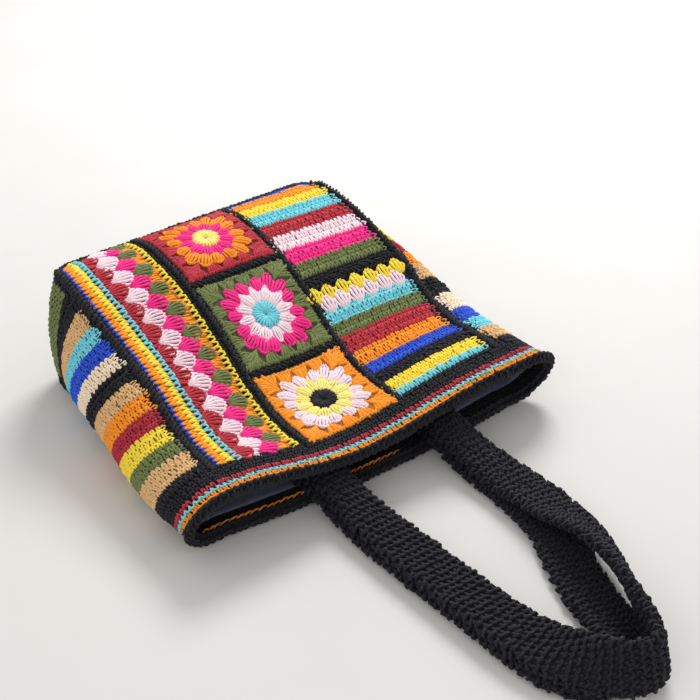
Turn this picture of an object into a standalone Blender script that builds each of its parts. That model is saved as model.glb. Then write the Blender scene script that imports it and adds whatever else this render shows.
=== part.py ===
"""Patchwork crochet shoulder bag, lying on its back panel with its two straps laid out.

Units are metres, +Z is up. The mouth and the straps point along -Y, the base along +Y.
The bag body is one tube of cloth: every point of it is named by a place s round the tube
and a distance v from the base to the mouth, and the patches, seams, mouth band and
lining all take their shape from that one surface.
"""
import math

import bmesh
import bpy
from mathutils import Vector

# Driving dimensions.
BAG_WIDTH = 0.340            # front panel, seam to seam
BAG_DEPTH = 0.128            # width of the strip that makes the sides and the base
PATCH_PITCH = 0.110          # one granny square and its share of the seams
PANEL_LENGTH = 3 * PATCH_PITCH
BAND_LENGTH = 0.040          # rows worked round the mouth
LEFT_COLUMN = 0.104
MIDDLE_COLUMN = 0.112
CLOTH = 0.0040               # thickness of the crochet, without the raised rows
CLEARANCE = 0.0005           # air between two pieces that touch on the real bag
ROW_RISE = 0.0013            # height of one crochet row over its valleys
SHELL_RISE = 0.0026          # height of shells and petals
SEAM_RADIUS = 0.0031         # raised join between two patches
EDGE_RADIUS = 0.0038         # raised join between a panel and the side strip
JOIN_LIFT = 0.0012           # joins sit proud of the cloth
EDGE_LIFT = 0.0010
ROLL_RADIUS = 0.0058         # rolled edge of the mouth
LINING = 0.0014
LINING_EASE = 0.0030         # the lining hangs clear of the crochet
SIDE_BORDER = 0.0030         # black row along the outer side of the shell strip
STRIPE_ENDS = (0.005, 0.005) # black border of a front stripe patch, across and along
BASE_WRAP = 0.058            # base cloth carried round each corner
LEFT_SPLIT = 0.182           # join between the two patches of the left side
RIGHT_SPLIT = 0.202          # the same on the right side
TOP_STRIPE_SPLIT = 0.154     # joins between the striped patches of the right column
LOW_STRIPE_SPLIT = 0.289
WRAP_BLACK = 0.010           # black row at the end of a base patch
WRAP_BEND = 0.024            # a bend of the base cloth between its corner and its end

# How the bag lies.
BASE_HEIGHT = 0.131          # front panel over the table at the base
MOUTH_HEIGHT = 0.066         # the same at the mouth
SLOPE_START = 0.025
SLOPE_END = 0.290
CORNER_ROUND = 0.028         # rounding of the base corners seen from above
BASE_CROWN = 0.004
MOUTH_SAG = 0.019
SAG_SHIFT = 0.030            # the mouth sags most this far to the left of its middle
EDGE_DROP = 0.008            # the front panel curls down this far at the base
EDGE_BEND = 0.030            # and starts to curl at this distance
PINCH_LEFT = 0.006           # the left edge is drawn in at the base
PINCH_RIGHT = 0.005          # the right edge is drawn in over its base half
SIDE_LEAN = 0.010            # left edge higher than the right one half way
DRIFT = 0.014                # the mouth lies this far to the left of the base
BACK_STRETCH = 0.930         # the back panel lies a little gathered
ROW_SLANT = 0.046            # side rows run this much nearer the base at the table
SKEW_ROOM = 1.20             # wider stops where rows run aslant to an edge
WRAP_ROOM = 1.5              # and where they close up at the table
BASE_ROOM = 0.0008           # the base cloth stops this much shorter of its edges
BACK_LEVEL = 0.0048          # middle of the back cloth over the table

# Straps.
STRAP_WIDTH = 0.050
STRAP_THICK = 0.0092

# Steps of the mesh.
TABLE_STEP = 0.001           # step of the table that adds up the run of the front
NORMAL_STEP = 0.0006         # step over which a surface normal is taken
RING_SHIFT = 0.0003          # keeps ring places off the folds between faces
TUBE_SIDES = 5

HALF_WIDTH = BAG_WIDTH / 2
RIM_V = PANEL_LENGTH + BAND_LENGTH
RING = 2 * (BAG_WIDTH + BAG_DEPTH)
SEAM_LEFT = -HALF_WIDTH + LEFT_COLUMN
SEAM_RIGHT = SEAM_LEFT + MIDDLE_COLUMN

for old in list(bpy.data.objects):
    bpy.data.objects.remove(old, do_unlink=True)

# Yarn colours.
YARN = {
    "black": (28, 26, 30),
    "brick": (160, 34, 46),
    "crimson": (140, 18, 36),
    "orange": (248, 134, 24),
    "magenta": (222, 24, 112),
    "hot_pink": (236, 42, 130),
    "pale_pink": (248, 220, 226),
    "pale_yellow": (250, 232, 120),
    "yellow": (250, 216, 56),
    "teal": (104, 186, 198),
    "olive": (100, 106, 62),
    "blue": (34, 74, 184),
    "beige": (204, 160, 108),
    "cream": (234, 212, 184),
    "lining": (24, 26, 38),
}
MATERIALS = {}


def to_linear(channel):
    c = channel / 255.0
    return c / 12.92 if c <= 0.04045 else ((c + 0.055) / 1.055) ** 2.4


def yarn(name):
    """One Principled material for each yarn colour."""
    if name not in MATERIALS:
        mat = bpy.data.materials.new("yarn_" + name if name != "lining" else "lining_cloth")
        mat.use_nodes = True
        shader = mat.node_tree.nodes["Principled BSDF"]
        rgb = [to_linear(c) for c in YARN[name]]
        shader.inputs["Base Color"].default_value = (*rgb, 1.0)
        shader.inputs["Roughness"].default_value = 0.85
        mat.diffuse_color = (*rgb, 1.0)
        MATERIALS[name] = mat
    return MATERIALS[name]


# The surface of the bag body.
def smooth(low, high, value):
    t = min(1.0, max(0.0, (value - low) / (high - low)))
    return t * t * (3 - 2 * t)


def edge_height(v):
    fall = smooth(SLOPE_START, SLOPE_END, v)
    return BASE_HEIGHT + (MOUTH_HEIGHT - BASE_HEIGHT) * fall


def run_of_front():
    """Distance along -Y reached by the front panel for each millimetre of cloth."""
    reach = [0.0]
    for i in range(int((RIM_V + 0.03) / TABLE_STEP)):
        rise = edge_height((i + 1) * TABLE_STEP) - edge_height(i * TABLE_STEP)
        reach.append(reach[-1] + math.sqrt(TABLE_STEP ** 2 - rise ** 2))
    return reach


FRONT_REACH = run_of_front()


def front_y(v):
    if v <= 0:
        return -v
    place = v / TABLE_STEP
    i = min(int(place), len(FRONT_REACH) - 2)
    return -(FRONT_REACH[i] + (FRONT_REACH[i + 1] - FRONT_REACH[i]) * (place - i))


def corner_place(u, v):
    """x and y of a panel point; the cloth near a base corner follows its round."""
    p = max(0.0, (abs(u) - HALF_WIDTH + CORNER_ROUND) / CORNER_ROUND)
    q = max(0.0, (CORNER_ROUND - v) / CORNER_ROUND)
    if p == 0 or q == 0:
        return u, 0.0
    turn = math.pi / 4 * (q / p if p >= q else 2 - p / q)
    reach = CORNER_ROUND * max(p, q)
    x = HALF_WIDTH - CORNER_ROUND + reach * math.cos(turn)
    y = reach * math.sin(turn) - CORNER_ROUND
    return math.copysign(x, u), y + v


def drift(v):
    return -DRIFT * smooth(0.13, PANEL_LENGTH, v)


def pinch(u, v):
    """How far the side edges of the front panel are drawn in."""
    share = (u / HALF_WIDTH) ** 2
    if u < 0:
        return PINCH_LEFT * share * (1 - smooth(0.0, 0.09, v))
    return -PINCH_RIGHT * share * (1 - smooth(0.11, 0.19, v))


def droop(u, v):
    """How far the front panel curls down towards the base."""
    curl = max(0.0, 1 - max(v, 0.0) / EDGE_BEND) ** 2
    return EDGE_DROP * (0.7 - 0.3 * u / HALF_WIDTH) * curl


def front_point(u, v):
    share = u / HALF_WIDTH
    across = math.cos(math.pi * u / BAG_WIDTH) ** 2
    off_middle = u + SAG_SHIFT * (1 - share ** 2)
    open_end = smooth(0.09, 0.26, v)
    crown = BASE_CROWN * (smooth(0.0, 0.05, v) - open_end) * across
    crown -= MOUTH_SAG * open_end * math.cos(math.pi * off_middle / BAG_WIDTH) ** 2
    lean = math.sin(math.pi * min(1.0, max(0.0, (v - 0.12) / 0.19))) ** 2
    z = edge_height(v) + crown - SIDE_LEAN * lean * share - droop(u, v)
    x, gain = corner_place(u, v)
    return Vector((x + drift(v) + pinch(u, v), front_y(v) + gain, z))


def slant(v):
    return ROW_SLANT * smooth(0.0, 0.15, v) * (1 - 0.75 * smooth(0.19, 0.36, v))


def back_point(u, v):
    w = v - slant(v) * (u / HALF_WIDTH) ** 2
    lift = 0.0018 * smooth(PANEL_LENGTH - 0.01, RIM_V, v)
    x, gain = corner_place(u, w)
    return Vector((x + drift(w), -w * BACK_STRETCH + gain, BACK_LEVEL + lift))


def outward(side, v):
    """Direction the side strip bulges in, turning towards the base at its corners."""
    turn = math.pi / 4 * min(1.0, max(0.0, 1 - v / CORNER_ROUND))
    return Vector((side * math.cos(turn), math.sin(turn), 0))


def bow(a, b, out, length, t):
    """Point at share t along an arc of given length from a to b, bulging along out."""
    chord = b - a
    c = chord.length
    ratio = max(length / c, 1.0005)
    low, high = 0.001, 3.0
    for _ in range(40):
        mid = (low + high) / 2
        if mid / math.sin(mid) < ratio:
            low = mid
        else:
            high = mid
    half = low
    radius = c / (2 * math.sin(half))
    ang = -half + 2 * half * t
    along = chord / c
    rise = out - along * out.dot(along)
    rise.normalize()
    return (a + b) / 2 + along * (radius * math.sin(ang)) + rise * (
        radius * (math.cos(ang) - math.cos(half)))


def side_point(side, t, v):
    a = front_point(side * HALF_WIDTH, v)
    b = back_point(side * HALF_WIDTH, v)
    k = slant(max(v, 0.0))
    fibre = math.sqrt((BAG_DEPTH - droop(side * HALF_WIDTH, v)) ** 2 + k ** 2)
    return bow(a, b, outward(side, v), fibre, t)


def base_point(u, t):
    """u runs across the whole width, t from the front edge down to the back edge."""
    p = max(0.0, (abs(u) - HALF_WIDTH + CORNER_ROUND) / CORNER_ROUND)
    turn = math.pi / 4 * (2 - p)
    out = Vector((math.copysign(math.cos(turn), u), math.sin(turn), 0))
    return bow(front_point(u, 0), back_point(u, 0), out, BAG_DEPTH - droop(u, 0), t)


def ring_point(s, v):
    """Place s round the tube: front left to right, right side, back, left side."""
    s = s % RING
    if s < BAG_WIDTH:
        return front_point(s - HALF_WIDTH, v)
    s -= BAG_WIDTH
    if s < BAG_DEPTH:
        return side_point(1, s / BAG_DEPTH, v)
    s -= BAG_DEPTH
    if s < BAG_WIDTH:
        return back_point(HALF_WIDTH - s, v)
    s -= BAG_WIDTH
    return side_point(-1, 1 - s / BAG_DEPTH, v)


def lifted(surface, a, b, off):
    """Point over a surface, at a distance along its outward normal."""
    da = surface(a + NORMAL_STEP, b) - surface(a - NORMAL_STEP, b)
    db = surface(a, b + NORMAL_STEP) - surface(a, b - NORMAL_STEP)
    n = da.cross(db)
    n.normalize()
    return surface(a, b) + n * off


def front_at(a, b, off):
    return lifted(front_point, a, b, -off)


def back_at(a, b, off):
    return lifted(back_point, a, b, off)


def left_at(a, b, off):
    """a is the distance down the side strip from the front seam, b is v."""
    return lifted(lambda p, q: side_point(-1, p / BAG_DEPTH, q), a, b, off)


def right_at(a, b, off):
    return lifted(lambda p, q: side_point(1, p / BAG_DEPTH, q), a, b, -off)


def base_at(a, b, off):
    return lifted(lambda p, q: base_point(p, q / BAG_DEPTH), a, b, off)


# Mesh building.
def make_object(name, verts, faces, colours, face_colours, smooth_angle=40):
    mesh = bpy.data.meshes.new(name)
    mesh.from_pydata([tuple(p) for p in verts], [], faces)
    for colour in colours:
        mesh.materials.append(yarn(colour))
    for poly, colour in zip(mesh.polygons, face_colours):
        poly.material_index = colours.index(colour)
    work = bmesh.new()
    work.from_mesh(mesh)
    bmesh.ops.triangulate(work, faces=work.faces[:])
    if work.calc_volume(signed=True) < 0:
        bmesh.ops.reverse_faces(work, faces=work.faces[:])
    work.to_mesh(mesh)
    work.free()
    mesh.shade_smooth()
    mesh.set_sharp_from_angle(angle=math.radians(smooth_angle))
    obj = bpy.data.objects.new(name, mesh)
    bpy.context.scene.collection.objects.link(obj)


def every(count, step):
    """Indices 0..count with a coarse step, always with both ends."""
    marks = list(range(0, count, step))
    if count - marks[-1] < step / 2 and len(marks) > 1:
        marks.pop()
    return marks + [count]


def cloth_patch(name, place, grid, tint, coarse_a, coarse_b):
    """Closed slab: grid[j][i] = (a, b, rise) above, plain and coarser below."""
    rows = len(grid) - 1
    cols = len(grid[0]) - 1
    half = CLOTH / 2
    verts = []
    faces = []
    tints = []
    top = {}
    for j, row in enumerate(grid):
        for i, (a, b, rise) in enumerate(row):
            top[i, j] = len(verts)
            verts.append(place(a, b, half + rise))
    for j in range(rows):
        for i in range(cols):
            faces.append((top[i, j], top[i + 1, j], top[i + 1, j + 1], top[i, j + 1]))
            tints.append(tint(i, j))
    marks_a = every(cols, coarse_a)
    marks_b = every(rows, coarse_b)
    low = {}

    def under(i, j):
        if (i, j) not in low:
            low[i, j] = len(verts)
            verts.append(place(grid[j][i][0], grid[j][i][1], -half))
        return low[i, j]

    for i0, i1 in zip(marks_a, marks_a[1:]):
        for j0, j1 in zip(marks_b, marks_b[1:]):
            loop = []
            loop += [(i, j0) for i in (range(i0, i1) if j0 == 0 else (i0,))]
            loop += [(i1, j) for j in (range(j0, j1) if i1 == cols else (j0,))]
            loop += [(i, j1) for i in (range(i1, i0, -1) if j1 == rows else (i1,))]
            loop += [(i0, j) for j in (range(j1, j0, -1) if i0 == 0 else (j1,))]
            faces.append(tuple(under(i, j) for i, j in reversed(loop)))
            tints.append("black")
    edge = [(i, 0) for i in range(cols)] + [(cols, j) for j in range(rows)]
    edge += [(i, rows) for i in range(cols, 0, -1)] + [(0, j) for j in range(rows, 0, -1)]
    for p, q in zip(edge, edge[1:] + edge[:1]):
        faces.append((top[q], top[p], under(*p), under(*q)))
        tints.append("black")
    make_object(name, verts, faces, sorted(set(tints)), tints)


def spread(low, high, count):
    return [low + (high - low) * i / count for i in range(count + 1)]


def stripe_lines(low, high, stripes, rows_each, border):
    """Lines across a striped patch: (place, rise, colour of the strip that follows)."""
    lines = [(low, 0.0, "black"), (low + border / 2, ROW_RISE, "black")]
    depth = (high - low - 2 * border) / sum(n for _, n in stripes) / rows_each
    at = low + border
    for colour, share in stripes:
        for _ in range(int(round(share * rows_each))):
            lines.append((at, 0.0, colour))
            lines.append((at + depth / 2, ROW_RISE, colour))
            at += depth
    lines += [(high - border, 0.0, "black"), (high - border / 2, ROW_RISE, "black")]
    lines.append((high, 0.0, "black"))
    return lines


def striped_patch(name, place, a_span, b_span, stripes, rows_each, cells, coarse, ends):
    """Rows run across a; their colours change along b. The two side ends are black."""
    lines = stripe_lines(b_span[0], b_span[1], stripes, rows_each, ends[1])
    inner = spread(a_span[0] + ends[0], a_span[1] - ends[0], cells)
    columns = [a_span[0], a_span[0] + ends[0] / 2] + inner
    columns += [a_span[1] - ends[0] / 2, a_span[1]]
    last = len(columns) - 1
    grid = []
    for b, rise, _ in lines:
        row = []
        for i, a in enumerate(columns):
            side = {0: 0.0, 1: ROW_RISE, last - 1: ROW_RISE, last: 0.0}
            row.append((a, b, side.get(i, rise)))
        grid.append(row)

    def tint(i, j):
        return "black" if i < 2 or i >= last - 2 else lines[j][2]

    return cloth_patch(name, place, grid, tint, coarse[0], coarse[1])


def shell_strip(name, place, a_span, b_span, rows, shells, per_shell, coarse):
    """Rows run along b; shells make the lines between their colours wave."""
    count = shells * per_shell
    lines = [(a_span[0], 0.0, 0.0, "black"), (a_span[0] + SIDE_BORDER / 2, 0.0, ROW_RISE, "black")]
    at = a_span[0] + SIDE_BORDER
    for colour, depth, wave, rise in rows:
        lines.append((at, wave, 0.0, colour))
        lines.append((at + depth / 2, wave, rise, colour))
        at += depth
    lines += [(at, 0.0, 0.0, "black"), (at / 2 + a_span[1] / 2, 0.0, ROW_RISE, "black")]
    lines.append((a_span[1], 0.0, 0.0, "black"))
    stops = [b_span[0]] + spread(b_span[0] + 0.008, b_span[1] - 0.008, count) + [b_span[1]]
    grid = []
    for j, b in enumerate(stops):
        phase = 2 * math.pi * (j - 1) / per_shell
        bump = 0.5 + 0.5 * math.cos(phase)
        row = []
        for a, wave, rise, _ in lines:
            edge = j in (0, len(stops) - 1)
            high = rise * (0.45 + 0.55 * bump) if wave > 0 else rise
            row.append((a + (0 if edge else wave * (bump - 0.5)), b, 0 if edge else high))
        grid.append(row)

    def tint(i, j):
        return "black" if j in (0, len(stops) - 2) else lines[i][3]

    return cloth_patch(name, place, grid, tint, coarse[0], coarse[1])


def granny_square(name, place, centre, half, rings, around, petals):
    """rings: (radius share, rise on a petal, rise between, squareness, wave, colour)."""
    ca, cb = centre
    ha, hb = half
    verts = []
    faces = []
    tints = []

    def at(share, k, square):
        ang = 2 * math.pi * k / around
        c, s = math.cos(ang), math.sin(ang)
        reach = 1 / max(abs(c), abs(s))
        r = share * (1 + (reach - 1) * square)
        return ca + ha * r * c, cb + hb * r * s

    verts.append(place(ca, cb, CLOTH / 2 + rings[0][1]))
    rims = []
    for share, high, low, square, wave, _ in rings:
        rim = []
        for k in range(around):
            beat = 0.5 + 0.5 * math.cos(2 * math.pi * petals * k / around)
            a, b = at(share * (1 - 0.12 * wave * (1 - beat)), k, square)
            rim.append(len(verts))
            verts.append(place(a, b, CLOTH / 2 + low + (high - low) * beat))
        rims.append(rim)
    for k in range(around):
        faces.append((0, rims[0][k], rims[0][(k + 1) % around]))
        tints.append(rings[0][5])
    for n, (inner, outer) in enumerate(zip(rims, rims[1:])):
        for k in range(around):
            m = (k + 1) % around
            faces.append((inner[k], outer[k], outer[m], inner[m]))
            tints.append(rings[n + 1][5])
    low_rims = []
    for share in (1.0, 0.5):
        rim = []
        for k in range(around):
            a, b = at(share, k, 1.0)
            rim.append(len(verts))
            verts.append(place(a, b, -CLOTH / 2))
        low_rims.append(rim)
    hub = len(verts)
    verts.append(place(ca, cb, -CLOTH / 2))
    for k in range(around):
        m = (k + 1) % around
        faces.append((rims[-1][k], low_rims[0][k], low_rims[0][m], rims[-1][m]))
        faces.append((low_rims[0][k], low_rims[1][k], low_rims[1][m], low_rims[0][m]))
        faces.append((low_rims[1][k], hub, low_rims[1][m]))
        tints += ["black"] * 3
    make_object(name, verts, faces, sorted(set(tints)), tints)


def tube(name, path, radius):
    """Raised black join along a path, closed at both ends."""
    sides = TUBE_SIDES
    verts = []
    faces = []
    count = len(path)
    side = None
    for n, p in enumerate(path):
        ahead = path[min(n + 1, count - 1)] - path[max(n - 1, 0)]
        ahead.normalize()
        if side is None:
            side = ahead.orthogonal()
        side = (side - ahead * side.dot(ahead)).normalized()
        up = side.cross(ahead)
        for k in range(sides):
            ang = 2 * math.pi * (k + 0.5) / sides
            verts.append(p + (side * math.cos(ang) + up * math.sin(ang)) * radius)
    for n in range(count - 1):
        for k in range(sides):
            m = (k + 1) % sides
            lo, hi = n * sides, (n + 1) * sides
            faces.append((lo + k, lo + m, hi + m, hi + k))
    faces.append(tuple(reversed(range(sides))))
    faces.append(tuple((count - 1) * sides + k for k in range(sides)))
    make_object(name, verts, faces, ["black"], ["black"] * len(faces), 60)


# Patches of the front panel.
SEAM_STOP = SEAM_RADIUS + CLEARANCE
EDGE_STOP = EDGE_RADIUS + CLEARANCE
V_START = EDGE_STOP
V_STOP = PANEL_LENGTH - CLEARANCE

SHELL_ROWS = [
    ("blue", 0.0035, 0.0, ROW_RISE), ("orange", 0.0080, 0.0, ROW_RISE),
    ("yellow", 0.0070, 0.0, ROW_RISE), ("teal", 0.0070, 0.0, ROW_RISE),
    ("brick", 0.0120, 0.0015, SHELL_RISE), ("pale_pink", 0.0140, 0.006, SHELL_RISE),
    ("hot_pink", 0.0130, 0.006, SHELL_RISE), ("olive", 0.0105, 0.006, SHELL_RISE),
    ("orange", 0.0080, 0.005, ROW_RISE), ("yellow", 0.0065, 0.0, ROW_RISE),
]
BASE_STRIPES = [("blue", 1), ("orange", 1), ("yellow", 1), ("teal", 1), ("brick", 1),
                ("pale_pink", 1), ("hot_pink", 1), ("olive", 1)]
MIDDLE_STRIPES = [("yellow", 1), ("pale_pink", 1), ("teal", 1), ("olive", 1),
                  ("brick", 1), ("orange", 1), ("blue", 1)]
MOUTH_STRIPES = [("yellow", 1), ("teal", 0.5)]


def square_rings(ground, outer, inner, heart):
    return [
        (0.20, 0.0022, 0.0022, 0.0, 0, heart), (0.26, 0.0006, 0.0004, 0.0, 0, heart),
        (0.40, SHELL_RISE, 0.0010, 0.0, 0, inner), (0.54, 0.0010, 0.0002, 0.0, 1, inner),
        (0.67, SHELL_RISE, 0.0008, 0.1, 0, outer), (0.83, 0.0010, 0.0002, 0.3, 1, outer),
        (0.92, 0.0004, 0.0004, 1.0, 0, ground), (0.96, ROW_RISE, ROW_RISE, 1.0, 0, "black"),
        (1.0, 0.0, 0.0, 1.0, 0, "black"),
    ]


RED_SQUARE = square_rings("brick", "orange", "magenta", "pale_yellow")
OLIVE_SQUARE = square_rings("olive", "hot_pink", "pale_pink", "teal")
ORANGE_SQUARE = square_rings("orange", "pale_pink", "pale_yellow", "black")


def panel(face, place, fine):
    """Seven patches of one panel, with the joins between them."""
    room = 1.0 if fine else SKEW_ROOM
    seam_stop = SEAM_STOP * room
    edge_stop = EDGE_STOP * room
    join_end = HALF_WIDTH - edge_stop - (0 if fine else SEAM_RADIUS * 0.6)
    left = (-HALF_WIDTH + edge_stop, SEAM_LEFT - seam_stop)
    right = (SEAM_RIGHT + seam_stop, HALF_WIDTH - edge_stop)
    shell_strip(face + "_shell_strip", place, left, (V_START, V_STOP), SHELL_ROWS,
                11 if fine else 8, 2 if fine else 1, (8, 2))
    mid_a = (SEAM_LEFT + SEAM_RIGHT) / 2
    half_a = MIDDLE_COLUMN / 2 - seam_stop
    joins = [0.0, PATCH_PITCH, 2 * PATCH_PITCH, PANEL_LENGTH]
    looks = (("red", RED_SQUARE), ("olive", OLIVE_SQUARE), ("orange", ORANGE_SQUARE))
    for n, (label, rings) in enumerate(looks):
        low = joins[n] + (EDGE_STOP if n == 0 else seam_stop)
        high = joins[n + 1] - (CLEARANCE if n == 2 else seam_stop)
        granny_square(face + "_square_" + label, place, (mid_a, (low + high) / 2),
                      (half_a, (high - low) / 2), rings if fine else rings[1::2] + rings[-1:],
                      24, 12)
    cells, coarse = (3, (3, 4)) if fine else (2, (6, 8))
    rows_each = 2 if fine else 1
    spans = (("base", (V_START, TOP_STRIPE_SPLIT - seam_stop), BASE_STRIPES, rows_each),
             ("middle", (TOP_STRIPE_SPLIT + seam_stop, LOW_STRIPE_SPLIT - seam_stop),
              MIDDLE_STRIPES, rows_each),
             ("mouth", (LOW_STRIPE_SPLIT + seam_stop, V_STOP), MOUTH_STRIPES, 2))
    for label, span, stripes, each in spans:
        striped_patch(face + "_stripes_" + label, place, right, span, stripes, each,
                      cells, coarse, STRIPE_ENDS)
    steps = 14 if fine else 8
    for label, a in (("left", SEAM_LEFT), ("right", SEAM_RIGHT)):
        path = [place(a, v, JOIN_LIFT) for v in spread(V_START, V_STOP, steps)]
        tube(face + "_seam_" + label, path, SEAM_RADIUS)
    cross = (("low", PATCH_PITCH, SEAM_LEFT, SEAM_RIGHT),
             ("high", 2 * PATCH_PITCH, SEAM_LEFT, SEAM_RIGHT))
    cross += (("stripe_low", TOP_STRIPE_SPLIT, SEAM_RIGHT, join_end),
              ("stripe_high", LOW_STRIPE_SPLIT, SEAM_RIGHT, join_end))
    for label, v, a0, a1 in cross:
        stop = a1 - (seam_stop if a1 == SEAM_RIGHT else 0)
        begin = a0 + seam_stop + CLEARANCE
        path = [place(a, v, JOIN_LIFT) for a in spread(begin, stop, 4 if fine else 6)]
        tube(face + "_join_" + label, path, SEAM_RADIUS)


panel("front", front_at, True)
panel("back", back_at, False)

# The side strip.
NEAR_STRIPES = [("beige", 1), ("teal", 1), ("blue", 1), ("cream", 1)]
FAR_STRIPES = [("beige", 1), ("orange", 1), ("crimson", 1), ("yellow", 1), ("olive", 1),
               ("beige", 1)]
RIGHT_FAR_STRIPES = [("cream", 1), ("blue", 1), ("teal", 1), ("beige", 1)]
RIGHT_NEAR_STRIPES = [("beige", 1), ("olive", 1), ("yellow", 1), ("crimson", 1),
                      ("orange", 1), ("beige", 1)]
SIDE_STOP = SEAM_STOP * SKEW_ROOM
strip_a = (EDGE_STOP * SKEW_ROOM, BAG_DEPTH - EDGE_STOP * SKEW_ROOM)
join_a = (strip_a[0] + SEAM_RADIUS * 0.5, strip_a[1] - SEAM_RADIUS * 0.5)

sides = (("left", left_at, LEFT_SPLIT, NEAR_STRIPES, FAR_STRIPES),
         ("right", right_at, RIGHT_SPLIT, RIGHT_NEAR_STRIPES, RIGHT_FAR_STRIPES))
for label, place, split, low_rows, high_rows in sides:
    start = BASE_WRAP + SIDE_STOP * WRAP_ROOM
    striped_patch(label + "_side_base", place, strip_a, (start, split - SIDE_STOP),
                  low_rows, 2, 5, (1, 6), (0.010, 0.013))
    striped_patch(label + "_side_mouth", place, strip_a, (split + SIDE_STOP, V_STOP),
                  high_rows, 2, 5, (1, 6), (0.010, 0.008))
    for spot, v in (("base", BASE_WRAP), ("middle", split)):
        path = [place(a, v, JOIN_LIFT) for a in spread(join_a[0], join_a[1], 8)]
        tube(label + "_side_join_" + spot, path, SEAM_RADIUS)


def base_place(a, b, off):
    """a runs from the left wrap to the right wrap, b down from the front edge."""
    if a < -HALF_WIDTH:
        return left_at(b, -HALF_WIDTH - a, off)
    if a > HALF_WIDTH:
        return right_at(b, a - HALF_WIDTH, off)
    return base_at(a, b, off)


WRAP_A = HALF_WIDTH + BASE_WRAP - SIDE_STOP * WRAP_ROOM


def base_patch(name, a0, a1):
    bends = [HALF_WIDTH + k * CORNER_ROUND for k in (-1.0, -0.6, -0.2, 0.25)]
    bends += [HALF_WIDTH + WRAP_BEND, WRAP_A - WRAP_BLACK]
    middle = [0.045, 0.090]
    inner = middle + bends
    stops = [a0] + sorted(a for k in (-1, 1) for a in (k * x for x in inner) if a0 < a < a1)
    stops += [a1]
    rows = spread(strip_a[0] + BASE_ROOM, strip_a[1] - BASE_ROOM, 8)
    grid = []
    for j, b in enumerate(rows):
        edge = j in (0, len(rows) - 1)
        rise = 0.0 if edge or j % 2 == 0 else ROW_RISE
        grid.append([(a, b, 0.0 if i in (0, len(stops) - 1) else rise)
                     for i, a in enumerate(stops)])

    def tint(i, j):
        return "black" if j in (0, 7) or i in (0, len(stops) - 2) else "olive"

    cloth_patch(name, base_place, grid, tint, 1, 1)


base_patch("base_patch_left", -WRAP_A, -SEAM_STOP)
base_patch("base_patch_right", SEAM_STOP, WRAP_A)
tube("base_join", [base_at(0.0, b, JOIN_LIFT) for b in spread(join_a[0], join_a[1], 6)],
     SEAM_RADIUS)


# Joins between the panels and the side strip.
def edge_path(place, down, steps):
    """From the mouth band along one side, round the base and back up the other side."""
    spots = [(1.0, v) for v in spread(V_STOP, CORNER_ROUND, steps)]
    spots += [(1.0, CORNER_ROUND * k) for k in (0.66, 0.33, 0.0)]
    spots += [(1 - CORNER_ROUND / HALF_WIDTH * k, 0.0) for k in (0.33, 0.66, 1.0)]
    spots += [(0.6, 0.0), (0.2, 0.0)]
    spots = [(-u, v) for u, v in spots] + [(u, v) for u, v in reversed(spots)]
    path = []
    for u, v in spots:
        a = u * HALF_WIDTH
        beside = (left_at if u < 0 else right_at) if abs(u) == 1 else base_at
        where = (down, v) if abs(u) == 1 else (a, down)
        normal = place(a * 0.98, max(v, 0.002), 1) - place(a * 0.98, max(v, 0.002), 0)
        normal += beside(*where, 1) - beside(*where, 0)
        path.append(place(a, v, 0) + normal.normalized() * EDGE_LIFT)
    return path


tube("front_edge_join", edge_path(front_at, 0.004, 14), EDGE_RADIUS)
tube("back_edge_join", edge_path(back_at, BAG_DEPTH - 0.004, 12), EDGE_RADIUS)


# Band and rolled edge of the mouth.
def ring_at(s, v, off):
    return lifted(ring_point, s, v, -off)


def ring_places(front_cells, side_cells):
    """Places round the tube; side_cells can be the list of distances down the side."""
    down = side_cells
    if isinstance(side_cells, int):
        down = spread(0, BAG_DEPTH, side_cells)
    flat_run = spread(0, BAG_WIDTH, front_cells)[:-1]
    marks = flat_run + [BAG_WIDTH + d for d in down[:-1]]
    marks += [BAG_WIDTH + BAG_DEPTH + f for f in flat_run]
    marks += [RING - d for d in reversed(down[1:])]
    return [m + RING_SHIFT for m in marks]


def mouth_profile():
    """(v, offset, colour) round the section of the band, outer face first."""
    v0 = PANEL_LENGTH + CLEARANCE
    half = CLOTH / 2
    rows = []
    at = v0
    for colour, depth in (("black", 0.0150), ("brick", 0.0058), ("teal", 0.0058),
                          ("orange", 0.0058)):
        rows.append((at, half, colour))
        rows.append((at + depth / 2, half + ROW_RISE, colour))
        at += depth
    rows.append((at, half, "black"))
    hub = at + ROLL_RADIUS * 0.9
    for deg in (100, 45, -10, -65, -120):
        ang = math.radians(deg)
        rows.append((hub + ROLL_RADIUS * math.cos(ang), ROLL_RADIUS * math.sin(ang), "black"))
    rows.append((at - 0.002, -half, "orange"))
    rows.append((v0, -half, "black"))
    return rows


def mouth_band():
    ends = [strip_a[0], strip_a[1]]
    inner = spread(strip_a[0] + 0.010, strip_a[1] - 0.010, 5)
    marks = ring_places(10, [0.0, ends[0]] + inner + [ends[1], BAG_DEPTH])
    profile = mouth_profile()
    verts = []
    faces = []
    tints = []
    wide = len(profile)
    for s in marks:
        for v, off, _ in profile:
            verts.append(ring_at(s, v, off))
    for n in range(len(marks)):
        m = (n + 1) % len(marks)
        for k in range(wide):
            q = (k + 1) % wide
            faces.append((n * wide + k, m * wide + k, m * wide + q, n * wide + q))
            tints.append(profile[k][2])
    make_object("mouth_band", verts, faces, sorted(set(tints)), tints, 50)


mouth_band()


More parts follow.
